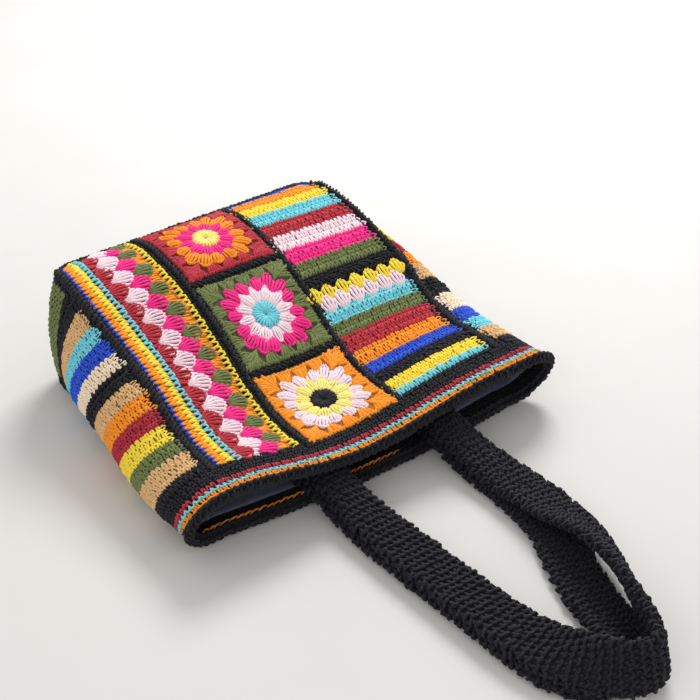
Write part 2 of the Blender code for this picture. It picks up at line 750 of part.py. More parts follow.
# Lining.
def lining():
    """Thin pouch, hanging a little clear of the crochet."""
    cells, down = 10, 4
    marks = ring_places(cells, down)
    outer = -(CLOTH / 2 + LINING_EASE)
    stops = [CORNER_ROUND + 0.004] + spread(0.06, PANEL_LENGTH + 0.020, 7)
    verts = []
    faces = []
    wide = len(marks)
    for depth, off in ((0.0, outer), (LINING, outer - LINING)):
        for n, v in enumerate(stops):
            verts += [ring_at(s, v + (depth if n == 0 else 0), off) for s in marks]
    shift = wide * len(stops)
    for n in range(len(stops) - 1):
        for k in range(wide):
            m = (k + 1) % wide
            lo, hi = n * wide, (n + 1) * wide
            faces.append((lo + k, hi + k, hi + m, lo + m))
            faces.append((shift + lo + m, shift + hi + m, shift + hi + k, shift + lo + k))
    top = (len(stops) - 1) * wide
    for k in range(wide):
        m = (k + 1) % wide
        faces.append((top + k, shift + top + k, shift + top + m, top + m))
    back = 2 * cells + down
    for start, flip in ((0, False), (shift, True)):
        cap = []
        for i in range(cells):
            cap.append((start + i, start + i + 1, start + back - i - 1, start + back - i))
        cap.append(tuple(start + k for k in range(cells, cells + down + 1)))
        cap.append(tuple(start + k % wide for k in range(back, wide + 1)))
        faces += [tuple(reversed(f)) if flip else f for f in cap]
    make_object("lining", verts, faces, ["lining"], ["lining"] * len(faces), 50)


lining()


# Straps.
# Each stop: x, y, height of the middle, and how far the inner edge is raised, in degrees.
FRONT_STRAP = [
    (-0.077, -0.318, 0.0355, 0), (-0.077, -0.352, 0.0315, 0), (-0.078, -0.400, 0.0210, 0),
    (-0.079, -0.450, 0.0164, 0), (-0.080, -0.520, 0.0160, 0), (-0.081, -0.590, 0.0182, 5),
    (-0.080, -0.640, 0.0230, 24), (-0.073, -0.680, 0.0310, 52), (-0.055, -0.708, 0.0350, 72),
    (-0.030, -0.712, 0.0355, 78), (-0.010, -0.690, 0.0350, 76), (0.008, -0.655, 0.0335, 70),
    (0.031, -0.610, 0.0310, 58), (0.048, -0.560, 0.0290, 34), (0.058, -0.510, 0.0210, 10),
    (0.063, -0.450, 0.0164, 0), (0.063, -0.400, 0.0210, 0), (0.062, -0.352, 0.0340, 0),
    (0.062, -0.318, 0.0410, 0),
]
BACK_STRAP = [
    (-0.079, -0.306, 0.0168, 0), (-0.079, -0.338, 0.0189, 0), (-0.079, -0.372, 0.0110, 0),
    (-0.079, -0.410, 0.0058, 0), (-0.080, -0.500, 0.0055, 0), (-0.081, -0.590, 0.0055, 0),
    (-0.081, -0.636, 0.0055, 0), (-0.073, -0.664, 0.0065, 6), (-0.048, -0.680, 0.0090, 14),
    (-0.020, -0.668, 0.0090, 14), (-0.003, -0.640, 0.0070, 6), (0.007, -0.605, 0.0055, 0),
    (0.026, -0.560, 0.0055, 0), (0.050, -0.510, 0.0055, 0), (0.062, -0.450, 0.0055, 0),
    (0.063, -0.410, 0.0058, 0), (0.063, -0.372, 0.0110, 0), (0.063, -0.338, 0.0189, 0),
    (0.063, -0.306, 0.0168, 0),
]


def strap_path(stops, per_span):
    """Smooth path through the stops."""
    path = []
    pts = [Vector(p) for p in stops]
    for n in range(len(pts) - 1):
        p0 = pts[max(n - 1, 0)]
        p1 = pts[n]
        p2 = pts[n + 1]
        p3 = pts[min(n + 2, len(pts) - 1)]
        for k in range(per_span):
            t = k / per_span
            a = 2 * p1
            b = p2 - p0
            c = 2 * p0 - 5 * p1 + 4 * p2 - p3
            d = 3 * p1 - p0 - 3 * p2 + p3
            path.append((a + b * t + c * t * t + d * t ** 3) / 2)
    path.append(pts[-1])
    return path


def strap_frame(path, n):
    """Middle, direction of the inner edge and direction of the upper face."""
    p = path[n]
    q = path[min(n + 1, len(path) - 1)]
    o = path[max(n - 1, 0)]
    ahead = (Vector(q[:3]) - Vector(o[:3])).normalized()
    inward = Vector((-ahead.y, ahead.x, 0)).normalized()
    up = inward.cross(ahead) * -1
    if up.z < 0:
        up = -up
    bank = math.radians(p[3])
    across = inward * math.cos(bank) + up * math.sin(bank)
    face = up * math.cos(bank) - inward * math.sin(bank)
    return Vector(p[:3]), across, face


def strap(name, stops, per_span):
    path = strap_path([Vector(s) for s in stops], per_span)
    half_w = STRAP_WIDTH / 2
    half_t = STRAP_THICK / 2
    section = [(-1.0, 0.45), (-0.80, 1.0), (0.80, 1.0), (1.0, 0.45),
               (1.0, -0.45), (0.80, -1.0), (-0.80, -1.0), (-1.0, -0.45)]
    verts = []
    faces = []
    wide = len(section)
    for n in range(len(path)):
        p, across, face = strap_frame(path, n)
        verts += [p + across * (a * half_w) + face * (b * half_t) for a, b in section]
    for n in range(len(path) - 1):
        for k in range(wide):
            m = (k + 1) % wide
            faces.append((n * wide + k, n * wide + m, (n + 1) * wide + m, (n + 1) * wide + k))
    faces.append(tuple(reversed(range(wide))))
    faces.append(tuple((len(path) - 1) * wide + k for k in range(wide)))
    make_object(name, verts, faces, ["black"], ["black"] * len(faces), 60)


strap("front_strap", FRONT_STRAP, 2)
strap("back_strap", BACK_STRAP, 2)

# Put the origin under the middle of the bag.
corners = [v.co for obj in bpy.data.objects for v in obj.data.vertices]
low = Vector([min(c[k] for c in corners) for k in range(3)])
high = Vector([max(c[k] for c in corners) for k in range(3)])
move = Vector((-(low.x + high.x) / 2, -(low.y + high.y) / 2, -low.z))
for obj in bpy.data.objects:
    for v in obj.data.vertices:
        v.co += move
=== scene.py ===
# %% [markdown]
# # A patchwork crochet shoulder bag
# The bag lies on its back panel with both straps laid out in front of the mouth.
# On the real one every surface is looped cotton yarn, so the lesson is about yarn:
# each stitch is a short bent tube, laid on a smooth surface that gives the bag its shape.
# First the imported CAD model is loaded. It fixes the size and place of every patch.

import math

import bpy
import numpy as np
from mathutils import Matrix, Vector


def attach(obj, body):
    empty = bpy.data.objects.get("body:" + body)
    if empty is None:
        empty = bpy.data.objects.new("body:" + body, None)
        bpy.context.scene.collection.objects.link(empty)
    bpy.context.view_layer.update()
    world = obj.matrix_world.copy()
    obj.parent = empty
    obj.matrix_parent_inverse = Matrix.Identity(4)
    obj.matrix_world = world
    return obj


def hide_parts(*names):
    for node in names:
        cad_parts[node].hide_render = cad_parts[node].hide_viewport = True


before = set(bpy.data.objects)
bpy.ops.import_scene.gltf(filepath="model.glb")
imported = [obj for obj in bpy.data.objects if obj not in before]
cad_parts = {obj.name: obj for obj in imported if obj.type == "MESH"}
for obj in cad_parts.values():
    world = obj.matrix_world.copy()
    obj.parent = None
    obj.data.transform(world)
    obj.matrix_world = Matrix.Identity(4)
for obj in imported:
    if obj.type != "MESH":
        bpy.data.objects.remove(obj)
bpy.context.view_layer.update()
rng = np.random.default_rng(8)

# %% [markdown]
# ## The shape of the bag
# The body is one tube of cloth. A place on it is named by s, the distance round the tube,
# and v, the distance from the base towards the mouth. The numbers are the same as in the
# CAD source, so the yarn lies exactly where the solids are. A lofted mesh could be
# sculpted instead, but then no stitch would know which row it belongs to.

# %% Sizes of the cloth, in metres
MM = 0.001
BAG_WIDTH = 0.340        # front panel, seam to seam
BAG_DEPTH = 0.128        # width of the strip that makes the sides and the base
PATCH_PITCH = 0.110      # one granny square and its share of the seams
PANEL_LENGTH = 3 * PATCH_PITCH
LEFT_COLUMN, MIDDLE_COLUMN = 0.104, 0.112
HALF_WIDTH = BAG_WIDTH / 2
RING = 2 * (BAG_WIDTH + BAG_DEPTH)
SEAM_LEFT = -HALF_WIDTH + LEFT_COLUMN
SEAM_RIGHT = SEAM_LEFT + MIDDLE_COLUMN
TOP_SPLIT, LOW_SPLIT = 0.154, 0.289      # joins in the striped column
LEFT_SPLIT, RIGHT_SPLIT = 0.182, 0.202   # joins half way down the sides
BASE_WRAP = 0.058        # base cloth carried round each corner
WRAP_END = HALF_WIDTH + BASE_WRAP
print("panel:", BAG_WIDTH, "by", PANEL_LENGTH, "round the tube:", RING)

# %% How the cloth lies, in metres
BASE_HEIGHT, MOUTH_FALL = 0.131, 0.065   # front panel over the table, and its fall
FALL_START, FALL_END = 0.025, 0.290
CROWN, SAG = 0.004, 0.019                # the base end is domed and the mouth sags
SAG_SHIFT = 0.030        # the mouth sags most this far to the left of its middle
SIDE_LEAN = 0.010        # left edge over right edge, half way
DRIFT = 0.014            # the mouth lies this far to the left of the base
EDGE_DROP, EDGE_BEND = 0.008, 0.030      # how far the far edge curls down, and from where
DRAW_LEFT, DRAW_RIGHT = 0.006, 0.005     # side edges drawn in towards the base
ROW_SLANT = 0.046        # side rows run this much nearer the base at the table
BACK_LEVEL, BACK_RISE = 0.0048, 0.0018   # back panel over the table, and its rise
BACK_STRETCH = 0.930     # the back panel lies a little gathered
CORNER_ROUND = 0.028     # rounding of the base corners seen from above
TABLE_STEP = 0.001       # step of the table that adds up the run of the front
MOVE = np.array([0.00863, 0.35463, 0.00034])   # from the cloth's origin to the frame's


# %% The front panel
def smooth(low, high, value):
    t = np.clip((value - low) / (high - low), 0, 1)
    return t * t * (3 - 2 * t)


def edge_height(v):
    return BASE_HEIGHT - MOUTH_FALL * smooth(FALL_START, FALL_END, v)


FRONT_V = np.arange(0, 0.42, TABLE_STEP)
FRONT_RUN = np.sqrt(TABLE_STEP ** 2 - np.diff(edge_height(FRONT_V)) ** 2)
FRONT_REACH = np.concatenate([[0], np.cumsum(FRONT_RUN)])


def front_y(v):
    return np.where(v <= 0, -v, -np.interp(v, FRONT_V, FRONT_REACH))


def corner_place(u, v):
    """x of a panel point and its gain in y: cloth near a base corner follows the round."""
    p = np.maximum(0, (np.abs(u) - HALF_WIDTH + CORNER_ROUND) / CORNER_ROUND)
    q = np.maximum(0, (CORNER_ROUND - v) / CORNER_ROUND)
    big, small = np.maximum(p, q), np.minimum(p, q)
    share = small / np.maximum(big, 1e-9)
    turn = math.pi / 4 * np.where(p >= q, share, 2 - share)
    reach = CORNER_ROUND * big
    x = np.sign(u) * (HALF_WIDTH - CORNER_ROUND + reach * np.cos(turn))
    gain = reach * np.sin(turn) - CORNER_ROUND + v
    flat = small <= 0
    return np.where(flat, u, x), np.where(flat, 0.0, gain)


def drift(v):
    return -DRIFT * smooth(0.13, PANEL_LENGTH, v)


def drawn_in(u, v):
    """How far the side edges of the front are drawn in towards the base."""
    left = DRAW_LEFT * (1 - smooth(0.0, 0.09, v))
    right = -DRAW_RIGHT * (1 - smooth(0.11, 0.19, v))
    return (u / HALF_WIDTH) ** 2 * np.where(u < 0, left, right)


def droop(u, v):
    """The far edge of the front curls down."""
    near = np.maximum(0, 1 - np.maximum(v, 0) / EDGE_BEND)
    return EDGE_DROP * (0.7 - 0.3 * u / HALF_WIDTH) * near ** 2


def front_point(u, v):
    share = u / HALF_WIDTH
    off_middle = u + SAG_SHIFT * (1 - share ** 2)
    open_end = smooth(0.09, 0.26, v)
    crown = CROWN * (smooth(0.0, 0.05, v) - open_end) * np.cos(math.pi * u / BAG_WIDTH) ** 2
    sag = SAG * open_end * np.cos(math.pi * off_middle / BAG_WIDTH) ** 2
    lean = np.sin(math.pi * np.clip((v - 0.12) / 0.19, 0, 1)) ** 2
    z = edge_height(v) + crown - sag - SIDE_LEAN * lean * share - droop(u, v)
    x, gain = corner_place(u, v)
    return np.stack([x + drift(v) + drawn_in(u, v), front_y(v) + gain, z], -1)


# %% The back panel
def slant(v):
    return ROW_SLANT * smooth(0.0, 0.15, v) * (1 - 0.75 * smooth(0.19, 0.36, v))


def back_point(u, v):
    w = v - slant(v) * (u / HALF_WIDTH) ** 2
    lift = BACK_RISE * smooth(PANEL_LENGTH - 0.01, PANEL_LENGTH + 0.04, v)
    x, gain = corner_place(u, w)
    return np.stack([x + drift(w), -w * BACK_STRETCH + gain, BACK_LEVEL + lift], -1)


# %% The sides and the base, which bulge between the panels
def bow(a, b, out, length, t):
    """Points at share t along arcs of a given length from a to b, bulging along out."""
    chord = b - a
    c = np.linalg.norm(chord, axis=-1)
    ratio = np.maximum(length / c, 1.0005)
    low, high = np.full(c.shape, 0.001), np.full(c.shape, 3.0)
    for _ in range(32):
        mid = (low + high) / 2
        short = mid / np.sin(mid) < ratio
        low, high = np.where(short, mid, low), np.where(short, high, mid)
    radius = c / (2 * np.sin(low))
    ang = -low + 2 * low * t
    along = chord / c[..., None]
    rise = out - along * np.sum(out * along, -1, keepdims=True)
    rise /= np.linalg.norm(rise, axis=-1, keepdims=True)
    return ((a + b) / 2 + along * (radius * np.sin(ang))[..., None]
            + rise * (radius * (np.cos(ang) - np.cos(low)))[..., None])


def side_point(side, t, v):
    turn = math.pi / 4 * np.clip(1 - v / CORNER_ROUND, 0, 1)
    out = np.stack([side * np.cos(turn), np.sin(turn), 0 * turn], -1)
    edge = np.full(v.shape, side * HALF_WIDTH)
    fibre = np.sqrt((BAG_DEPTH - droop(edge, v)) ** 2 + slant(np.maximum(v, 0)) ** 2)
    return bow(front_point(edge, v), back_point(edge, v), out, fibre, t)


def base_point(u, t):
    p = np.maximum(0, (np.abs(u) - HALF_WIDTH + CORNER_ROUND) / CORNER_ROUND)
    turn = math.pi / 4 * (2 - p)
    out = np.stack([np.sign(u + 1e-12) * np.cos(turn), np.sin(turn), 0 * turn], -1)
    zero = np.zeros(u.shape)
    return bow(front_point(u, zero), back_point(u, zero), out, BAG_DEPTH - droop(u, zero), t)


# %% Round the tube, and round the base
def ring_point(s, v):
    """Place s round the tube: front left to right, right side, back, left side."""
    s = s % RING
    right = s - BAG_WIDTH
    back = right - BAG_DEPTH
    left = s - 2 * BAG_WIDTH - BAG_DEPTH
    p = front_point(s - HALF_WIDTH, v)
    for past, q in ((right, side_point(1, np.clip(right / BAG_DEPTH, 0, 1), v)),
                    (back, back_point(HALF_WIDTH - back, v)),
                    (left, side_point(-1, np.clip(1 - left / BAG_DEPTH, 0, 1), v))):
        p = np.where((past > 0)[..., None], q, p)
    return p


def base_place(a, w):
    """a runs across the base and on round its corners, w down from the front edge."""
    t = np.clip(w / BAG_DEPTH, 0, 1)
    p = base_point(np.clip(a, -HALF_WIDTH, HALF_WIDTH), t)
    over = np.abs(a) - HALF_WIDTH
    for side in (-1, 1):
        on_side = (over > 0) & (a * side > 0)
        p = np.where(on_side[..., None], side_point(side, t, np.maximum(over, 0)), p)
    return p


# %% [markdown]
# ## A surface that stitches can be laid on
# The exact place of a point takes many steps to work out, and there are a million of them.
# So each surface is worked out once, on a grid of 2 mm, with the direction in which it
# faces. Every stitch then reads its places from that table.

# %% A table of cloth
class Cloth:
    """A table of points and outward normals, read at any distance a and b."""

    def __init__(self, place, a_span, b_span, step=0.002):
        self.low = (a_span[0], b_span[0])
        counts = [max(2, round((s[1] - s[0]) / step)) for s in (a_span, b_span)]
        a = np.linspace(*a_span, counts[0] + 1)
        b = np.linspace(*b_span, counts[1] + 1)
        self.steps = (a[1] - a[0], b[1] - b[0])
        self.p = place(*np.meshgrid(a, b, indexing="ij"))
        n = np.cross(np.gradient(self.p, axis=0), np.gradient(self.p, axis=1))
        self.n = n / np.maximum(np.linalg.norm(n, axis=-1, keepdims=True), 1e-12)

    def flipped(self, depth=0.0):
        """The same cloth seen from its other face, moved by depth along the old normal."""
        twin = object.__new__(Cloth)
        twin.low, twin.steps = self.low, self.steps
        twin.p, twin.n = self.p + self.n * depth, -self.n
        return twin

    def at(self, a, b, off):
        """Points and normals at distances a and b, lifted by off."""
        top = np.array(self.p.shape[:2]) - 1.001
        x = np.clip((a - self.low[0]) / self.steps[0], 0, top[0])
        y = np.clip((b - self.low[1]) / self.steps[1], 0, top[1])
        i, j = x.astype(int), y.astype(int)
        fx, fy = (x - i)[..., None], (y - j)[..., None]
        out = []
        for grid in (self.p, self.n):
            near = grid[i, j] * (1 - fx) + grid[i + 1, j] * fx
            far = grid[i, j + 1] * (1 - fx) + grid[i + 1, j + 1] * fx
            out.append(near * (1 - fy) + far * fy)
        n = out[1] / np.linalg.norm(out[1], axis=-1, keepdims=True)
        return out[0] + n * np.asarray(off)[..., None], n


# %% The tube and the base as tables
SINK = 1.4 * MM          # heights of yarn are counted from this far inside the cloth's middle
OVERLAP = 0.02           # the tube's table runs on past its start and end
MOUTH_V = 0.390          # and past the mouth

tube_cloth = Cloth(lambda s, v: ring_point(s, v) + MOVE, (-OVERLAP, RING + OVERLAP), (0.0, MOUTH_V))
tube_cloth = tube_cloth.flipped(SINK)
base_cloth = Cloth(lambda a, w: base_place(a, w) + MOVE, (-WRAP_END, WRAP_END), (0.0, BAG_DEPTH))
base_cloth.p = base_cloth.p - base_cloth.n * SINK
print("tube table:", tube_cloth.p.shape[:2], "base table:", base_cloth.p.shape[:2])


# %% Windows on the tube, one for each face
class Window:
    """A part of the tube with its own distances: s = start + turn * a, v = b."""

    def __init__(self, start, turn):
        self.start, self.turn = start, turn

    def at(self, a, b, off):
        return tube_cloth.at(self.start + self.turn * a, b, off)


front = Window(HALF_WIDTH, 1)
back = Window(1.5 * BAG_WIDTH + BAG_DEPTH, -1)
right_side = Window(BAG_WIDTH, 1)
left_side = Window(RING, -1)

# %% [markdown]
# ## Cotton yarn
# The yarn is soft worsted cotton, three plies twisted together, about 2.7 mm thick.
# Light catches the ridges of the plies and is lost in the grooves, and a fine fuzz of
# fibre ends gives a faint sheen. An image texture could show that, but a sine along the
# yarn's own length and girth gives the twist at its real pitch from any side. The sine
# makes a bump, and it also paints shade into the grooves and highlight onto the ridges.


# %% One function that adds a node
def add(tree, kind, settings=None, links=None):
    """Adds a node. settings: property or input values. links: input -> (node, output)."""
    node = tree.nodes.new("ShaderNode" + kind)
    for key, value in (settings or {}).items():
        if isinstance(key, str) and hasattr(node, key):
            setattr(node, key, value)
        else:
            node.inputs[key].default_value = value
    for key, (source, output) in (links or {}).items():
        tree.links.new(source.outputs[output], node.inputs[key])
    return node


def linear(hex_colour, gain=1.0):
    """An sRGB hex colour as the linear values that Blender's shaders take."""
    parts = [int(hex_colour[i:i + 2], 16) / 255 for i in (1, 3, 5)]
    parts = [c / 12.92 if c <= 0.04045 else ((c + 0.055) / 1.055) ** 2.4 for c in parts]
    gain = min(gain, 1.0 / max(parts))      # no dye sends back more light than it gets
    return (*(gain * c for c in parts), 1.0)


def new_material(name):
    """An empty node material and its tree."""
    mat = bpy.data.materials.new(name)
    mat.use_nodes = True
    mat.node_tree.nodes.clear()
    return mat, mat.node_tree


# %% Yarn colours, as sRGB hex
YARNS = {
    "black": "#131217", "brick": "#b82c3a", "crimson": "#ae2238", "orange": "#ff9c1c",
    "magenta": "#ee2a88", "hot_pink": "#fb2c92", "pale_pink": "#ffe6ee",
    "pale_yellow": "#fff08a", "yellow": "#ffe444", "teal": "#74cfdc", "olive": "#6f7a45",
    "blue": "#2250cc", "beige": "#dcb27c", "cream": "#f8e4ca",
}
PLIES = 3
TWIST_MM = 6.0           # length in which a ply goes once round the yarn
PAINTED_GROOVE_SHADE_AND_RIDGE_LIGHT = (0.86, 1.15)          # painted shade between the plies and painted highlight on them, as brightness of the dye
BLACK_PAINTED_GROOVE_SHADE_AND_RIDGE_GLOSS = (0.55, 1.3)     # black yarn gets deeper painted shade between its plies and a painted gloss highlight on them
PAINTED_SHADE = 0.5             # painted shade: brightness of yarn inside the fabric, where little light comes


# %% The yarn material
# A depth below 1 makes a darker copy of the yarn: painted shade for the cloth seen between the
# stitches.
def cotton_yarn(name, hex_colour, depth=1.0):
    mat, tree = new_material("cotton_yarn_" + name)
    along = add(tree, "UVMap", {"uv_map": "yarn"})
    part = add(tree, "SeparateXYZ", {}, {0: (along, 0)})
    turns = add(tree, "Math", {"operation": "MULTIPLY", 1: 2 * math.pi / TWIST_MM}, {0: (part, 0)})
    girth = add(tree, "Math", {"operation": "MULTIPLY", 1: 2 * math.pi * PLIES}, {0: (part, 1)})
    phase = add(tree, "Math", {"operation": "ADD"}, {0: (turns, 0), 1: (girth, 0)})
    ply = add(tree, "Math", {"operation": "SINE"}, {0: (phase, 0)})
    spot = add(tree, "TexCoord")
    # Dye takes a little unevenly every few centimetres; fibres are fractions of a mm.
    dye = add(tree, "TexNoise", {"Scale": 60.0, "Detail": 3.0}, {"Vector": (spot, "Object")})
    fibre = add(tree, "TexNoise", {"Scale": 2600.0, "Detail": 2.0}, {"Vector": (spot, "Object")})
    tone = add(tree, "MapRange", {"From Min": -1.0, "From Max": 1.0, "To Min": 0.3, "To Max": 1.0},
               {"Value": (ply, 0)})
    blend = add(tree, "Math", {"operation": "MULTIPLY_ADD", 1: 0.5, 2: -0.25}, {0: (dye, 0)})
    share = add(tree, "Math", {"operation": "ADD", "use_clamp": True},
                {0: (tone, 0), 1: (blend, 0)})
    # The colour is darker in the grooves between the plies and lighter on their ridges: painted
    # shade and painted highlight, beside the bump.
    shaded_groove, lit_ridge = BLACK_PAINTED_GROOVE_SHADE_AND_RIDGE_GLOSS if "black" in name else PAINTED_GROOVE_SHADE_AND_RIDGE_LIGHT
    colour = add(tree, "Mix", {"data_type": "RGBA", 6: linear(hex_colour, shaded_groove * depth),
                               7: linear(hex_colour, lit_ridge * depth)}, {0: (share, 0)})
    relief = add(tree, "Math", {"operation": "MULTIPLY_ADD", 1: 0.35},
                 {0: (fibre, 0), 2: (tone, 0)})
    bump = add(tree, "Bump", {"Strength": 0.6, "Distance": 0.0004}, {"Height": (relief, 0)})
    shader = add(tree, "BsdfPrincipled",
                 {"Roughness": 0.80, "IOR": 1.53, "Specular IOR Level": 0.35,
                  "Sheen Weight": 0.05, "Sheen Roughness": 0.5},
                 {"Base Color": (colour, 2), "Normal": (bump, 0)})
    if "black" in name:
        # Black dye leaves a cool, slightly blue gloss on the fibre.
        shader.inputs["Sheen Tint"].default_value = (0.55, 0.65, 1.0, 1.0)
    add(tree, "OutputMaterial", {}, {"Surface": (shader, 0)})
    return mat


yarn_materials = {name: cotton_yarn(name, code) for name, code in YARNS.items()}
# Each yarn also gets a darker copy, painted shade for the cloth between the stitches.
yarn_materials.update({name + "_inner": cotton_yarn(name + "_inner", code, PAINTED_SHADE)
                       for name, code in YARNS.items()})
print("yarn materials:", len(yarn_materials))

# %% [markdown]
# ## From a line to yarn
# A stitch is drawn as a few points; a tube follows them. Curve objects with a bevel could
# do this, but thousands of them are slow and give no clean mesh. Here all tubes of a piece
# are swept at once with arrays, closed at both ends, and get a UV map that counts
# millimetres along the yarn and turns round it.


# %% Faces between rows of points
def grid_quads(na, nb, closed=False):
    """Quads between na rows of nb points; closed joins the last row to the first."""
    rows = np.arange(na if closed else na - 1)
    i, j = [g.ravel() for g in np.meshgrid(rows, np.arange(nb - 1), indexing="ij")]
    k, m = i * nb + j, (i + 1) % na * nb + j
    return np.stack([k, m, m + 1, k + 1], -1)


# %% A piece of crochet
PRESSED = 0.0025         # below this height over the table, yarn is pressed
YARN_END = 0.7           # a tube is so much thinner at its ends


class Piece:
    """Gathers tubes and slabs, then becomes one mesh."""

    total = 0

    def __init__(self, name):
        self.name, self.count = name, 0
        self.verts, self.loops, self.sizes, self.uvs, self.tints = [], [], [], [], []

    def points(self, verts):
        """Adds points and gives the number of the first."""
        self.verts.append(verts.reshape(-1, 3))
        self.count += len(self.verts[-1])
        return self.count - len(self.verts[-1])

    def faces(self, faces, colour, uv=None):
        """faces (m, k) of point numbers, colour a name or m names, uv (m, k, 2) in mm."""
        self.loops.append(faces.ravel())
        self.sizes.append(np.full(len(faces), faces.shape[1]))
        self.uvs.append(np.zeros((faces.size, 2)) if uv is None else uv.reshape(-1, 2))
        self.tints += [colour] * len(faces) if isinstance(colour, str) else list(colour)

    def yarn(self, path, normal, radius, colour, sides=5, taper=None):
        """Closed tubes. path and normal (tubes, points, 3), radius of each tube in metres."""
        tubes, points = path.shape[:2]
        ahead = np.gradient(path, axis=1)
        ahead /= np.maximum(np.linalg.norm(ahead, axis=-1, keepdims=True), 1e-12)
        side = np.cross(ahead, normal)
        side /= np.maximum(np.linalg.norm(side, axis=-1, keepdims=True), 1e-9)
        up = np.cross(side, ahead)
        if taper is None:
            taper = np.ones(points)
            taper[0] = taper[-1] = YARN_END
        thick = np.reshape(radius, (-1, 1, 1, 1)) * np.asarray(taper)[None, :, None, None]
        turn = 2 * math.pi * (np.arange(sides) + 0.5) / sides
        ring = side[:, :, None] * np.cos(turn)[:, None] + up[:, :, None] * np.sin(turn)[:, None]
        first = self.points(path[:, :, None] + ring * thick)

        t, p, k = np.meshgrid(*map(np.arange, (tubes, points - 1, sides)), indexing="ij")
        m = (k + 1) % sides
        at = first + (t * points + p) * sides
        quads = np.stack([at + k, at + m, at + sides + m, at + sides + k], -1).reshape(-1, 4)
        run = np.cumsum(np.linalg.norm(np.diff(path, axis=1), axis=-1) / MM, 1)
        run = np.concatenate([np.zeros((tubes, 1)), run], 1)
        run = run + rng.uniform(0, TWIST_MM, (tubes, 1))    # each starts elsewhere in the twist
        u0, u1 = run[t, p], run[t, p + 1]
        v0, v1 = k / sides, (k + 1) / sides
        uv = np.stack([np.stack(c, -1) for c in ((u0, v0), (u0, v1), (u1, v1), (u1, v0))], -2)
        self.faces(quads, colour, uv.reshape(-1, 4, 2))
        start = first + np.arange(tubes)[:, None] * points * sides
        end = start + (points - 1) * sides
        around = np.arange(sides)
        self.faces(np.concatenate([start + around[::-1], end + around]), colour)

    def slab(self, cloth, a_marks, b_marks, low, high, colour_of):
        """A closed layer of cloth between two heights, one cell between each two marks, coloured
        with the darker painted-shade copy of each yarn.
        """
        na, nb = len(a_marks), len(b_marks)
        a, b = np.meshgrid(a_marks, b_marks, indexing="ij")
        verts = np.concatenate([cloth.at(a, b, np.full(a.shape, height))[0].reshape(-1, 3)
                                for height in (high, low)])
        quads = grid_quads(na, nb)
        rim = [(x, 0) for x in range(na)] + [(na - 1, y) for y in range(1, nb)]
        rim += [(x, nb - 1) for x in range(na - 2, -1, -1)]
        rim += [(0, y) for y in range(nb - 2, 0, -1)]
        r = np.array([x * nb + y for x, y in rim])
        edge = np.stack([r, r + na * nb, np.roll(r, -1) + na * nb, np.roll(r, -1)], -1)
        faces = np.concatenate([quads, quads[:, ::-1] + na * nb, edge])
        quad = verts[quads[0]]
        facing = np.cross(quad[1] - quad[0], quad[3] - quad[0])
        if np.dot(facing, verts[0] - verts[na * nb]) < 0:
            faces = faces[:, ::-1]
        # Each cell takes the darker copy of its yarn: the shade between the stitches is painted
        # into it.
        tints = [colour_of((a_marks[x] + a_marks[x + 1]) / 2, (b_marks[y] + b_marks[y + 1]) / 2)
                 + "_inner" for x, y in zip(quads[:, 0] // nb, quads[:, 0] % nb)]
        first = self.points(verts)
        self.faces(first + faces, tints + tints + [tints[0]] * len(edge),
                   verts[faces][..., :2] / MM)

    def build(self, slot, *nodes, materials=None):
        """Makes the mesh and has it stand for its CAD nodes."""
        materials = materials or yarn_materials
        verts, loops = np.concatenate(self.verts), np.concatenate(self.loops)
        sizes = np.concatenate(self.sizes)
        # Yarn that lies on the table is pressed flat, more so the lower it would reach.
        low = verts[:, 2] < PRESSED
        verts[low, 2] = PRESSED * np.exp(verts[low, 2] / PRESSED - 1)
        starts = np.concatenate([[0], np.cumsum(sizes)[:-1]])
        used = sorted(set(self.tints))
        number = {tint: n for n, tint in enumerate(used)}

        mesh = bpy.data.meshes.new(self.name)
        mesh.vertices.add(len(verts))
        mesh.vertices.foreach_set("co", verts.astype(np.float32).ravel())
        mesh.loops.add(len(loops))
        mesh.loops.foreach_set("vertex_index", loops.astype(np.int32))
        mesh.polygons.add(len(sizes))
        mesh.polygons.foreach_set("loop_start", starts.astype(np.int32))
        for tint in used:
            mesh.materials.append(materials[tint])
        mesh.polygons.foreach_set("material_index",
                                  np.array([number[t] for t in self.tints], np.int32))
        mesh.update(calc_edges=True)
        layer = mesh.uv_layers.new(name="yarn")
        layer.uv.foreach_set("vector", np.concatenate(self.uvs).astype(np.float32).ravel())
        mesh.shade_smooth()
        obj = bpy.data.objects.new(self.name, mesh)
        bpy.context.scene.collection.objects.link(obj)
        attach(obj, "root")
        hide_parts(*nodes)
        triangles = int(np.sum(sizes - 2))
        Piece.total += triangles
        print(f"{self.name}: {triangles} triangles, total {Piece.total}")
        return obj


# %% [markdown]
# ## Stitches
# Single crochet shows a small V on its right side and a bar over two legs on its wrong
# side, and rows worked to and fro show them in turn. A stitch is written once, x in
# stitch widths, y in row heights and z in millimetres over the cloth, and laid many times.
# Its foot reaches into the row below, which gives the saw-toothed edge between colours.


# %% Stitch forms
def mirrored(form):
    return [(-x, y, z) for x, y, z in form]


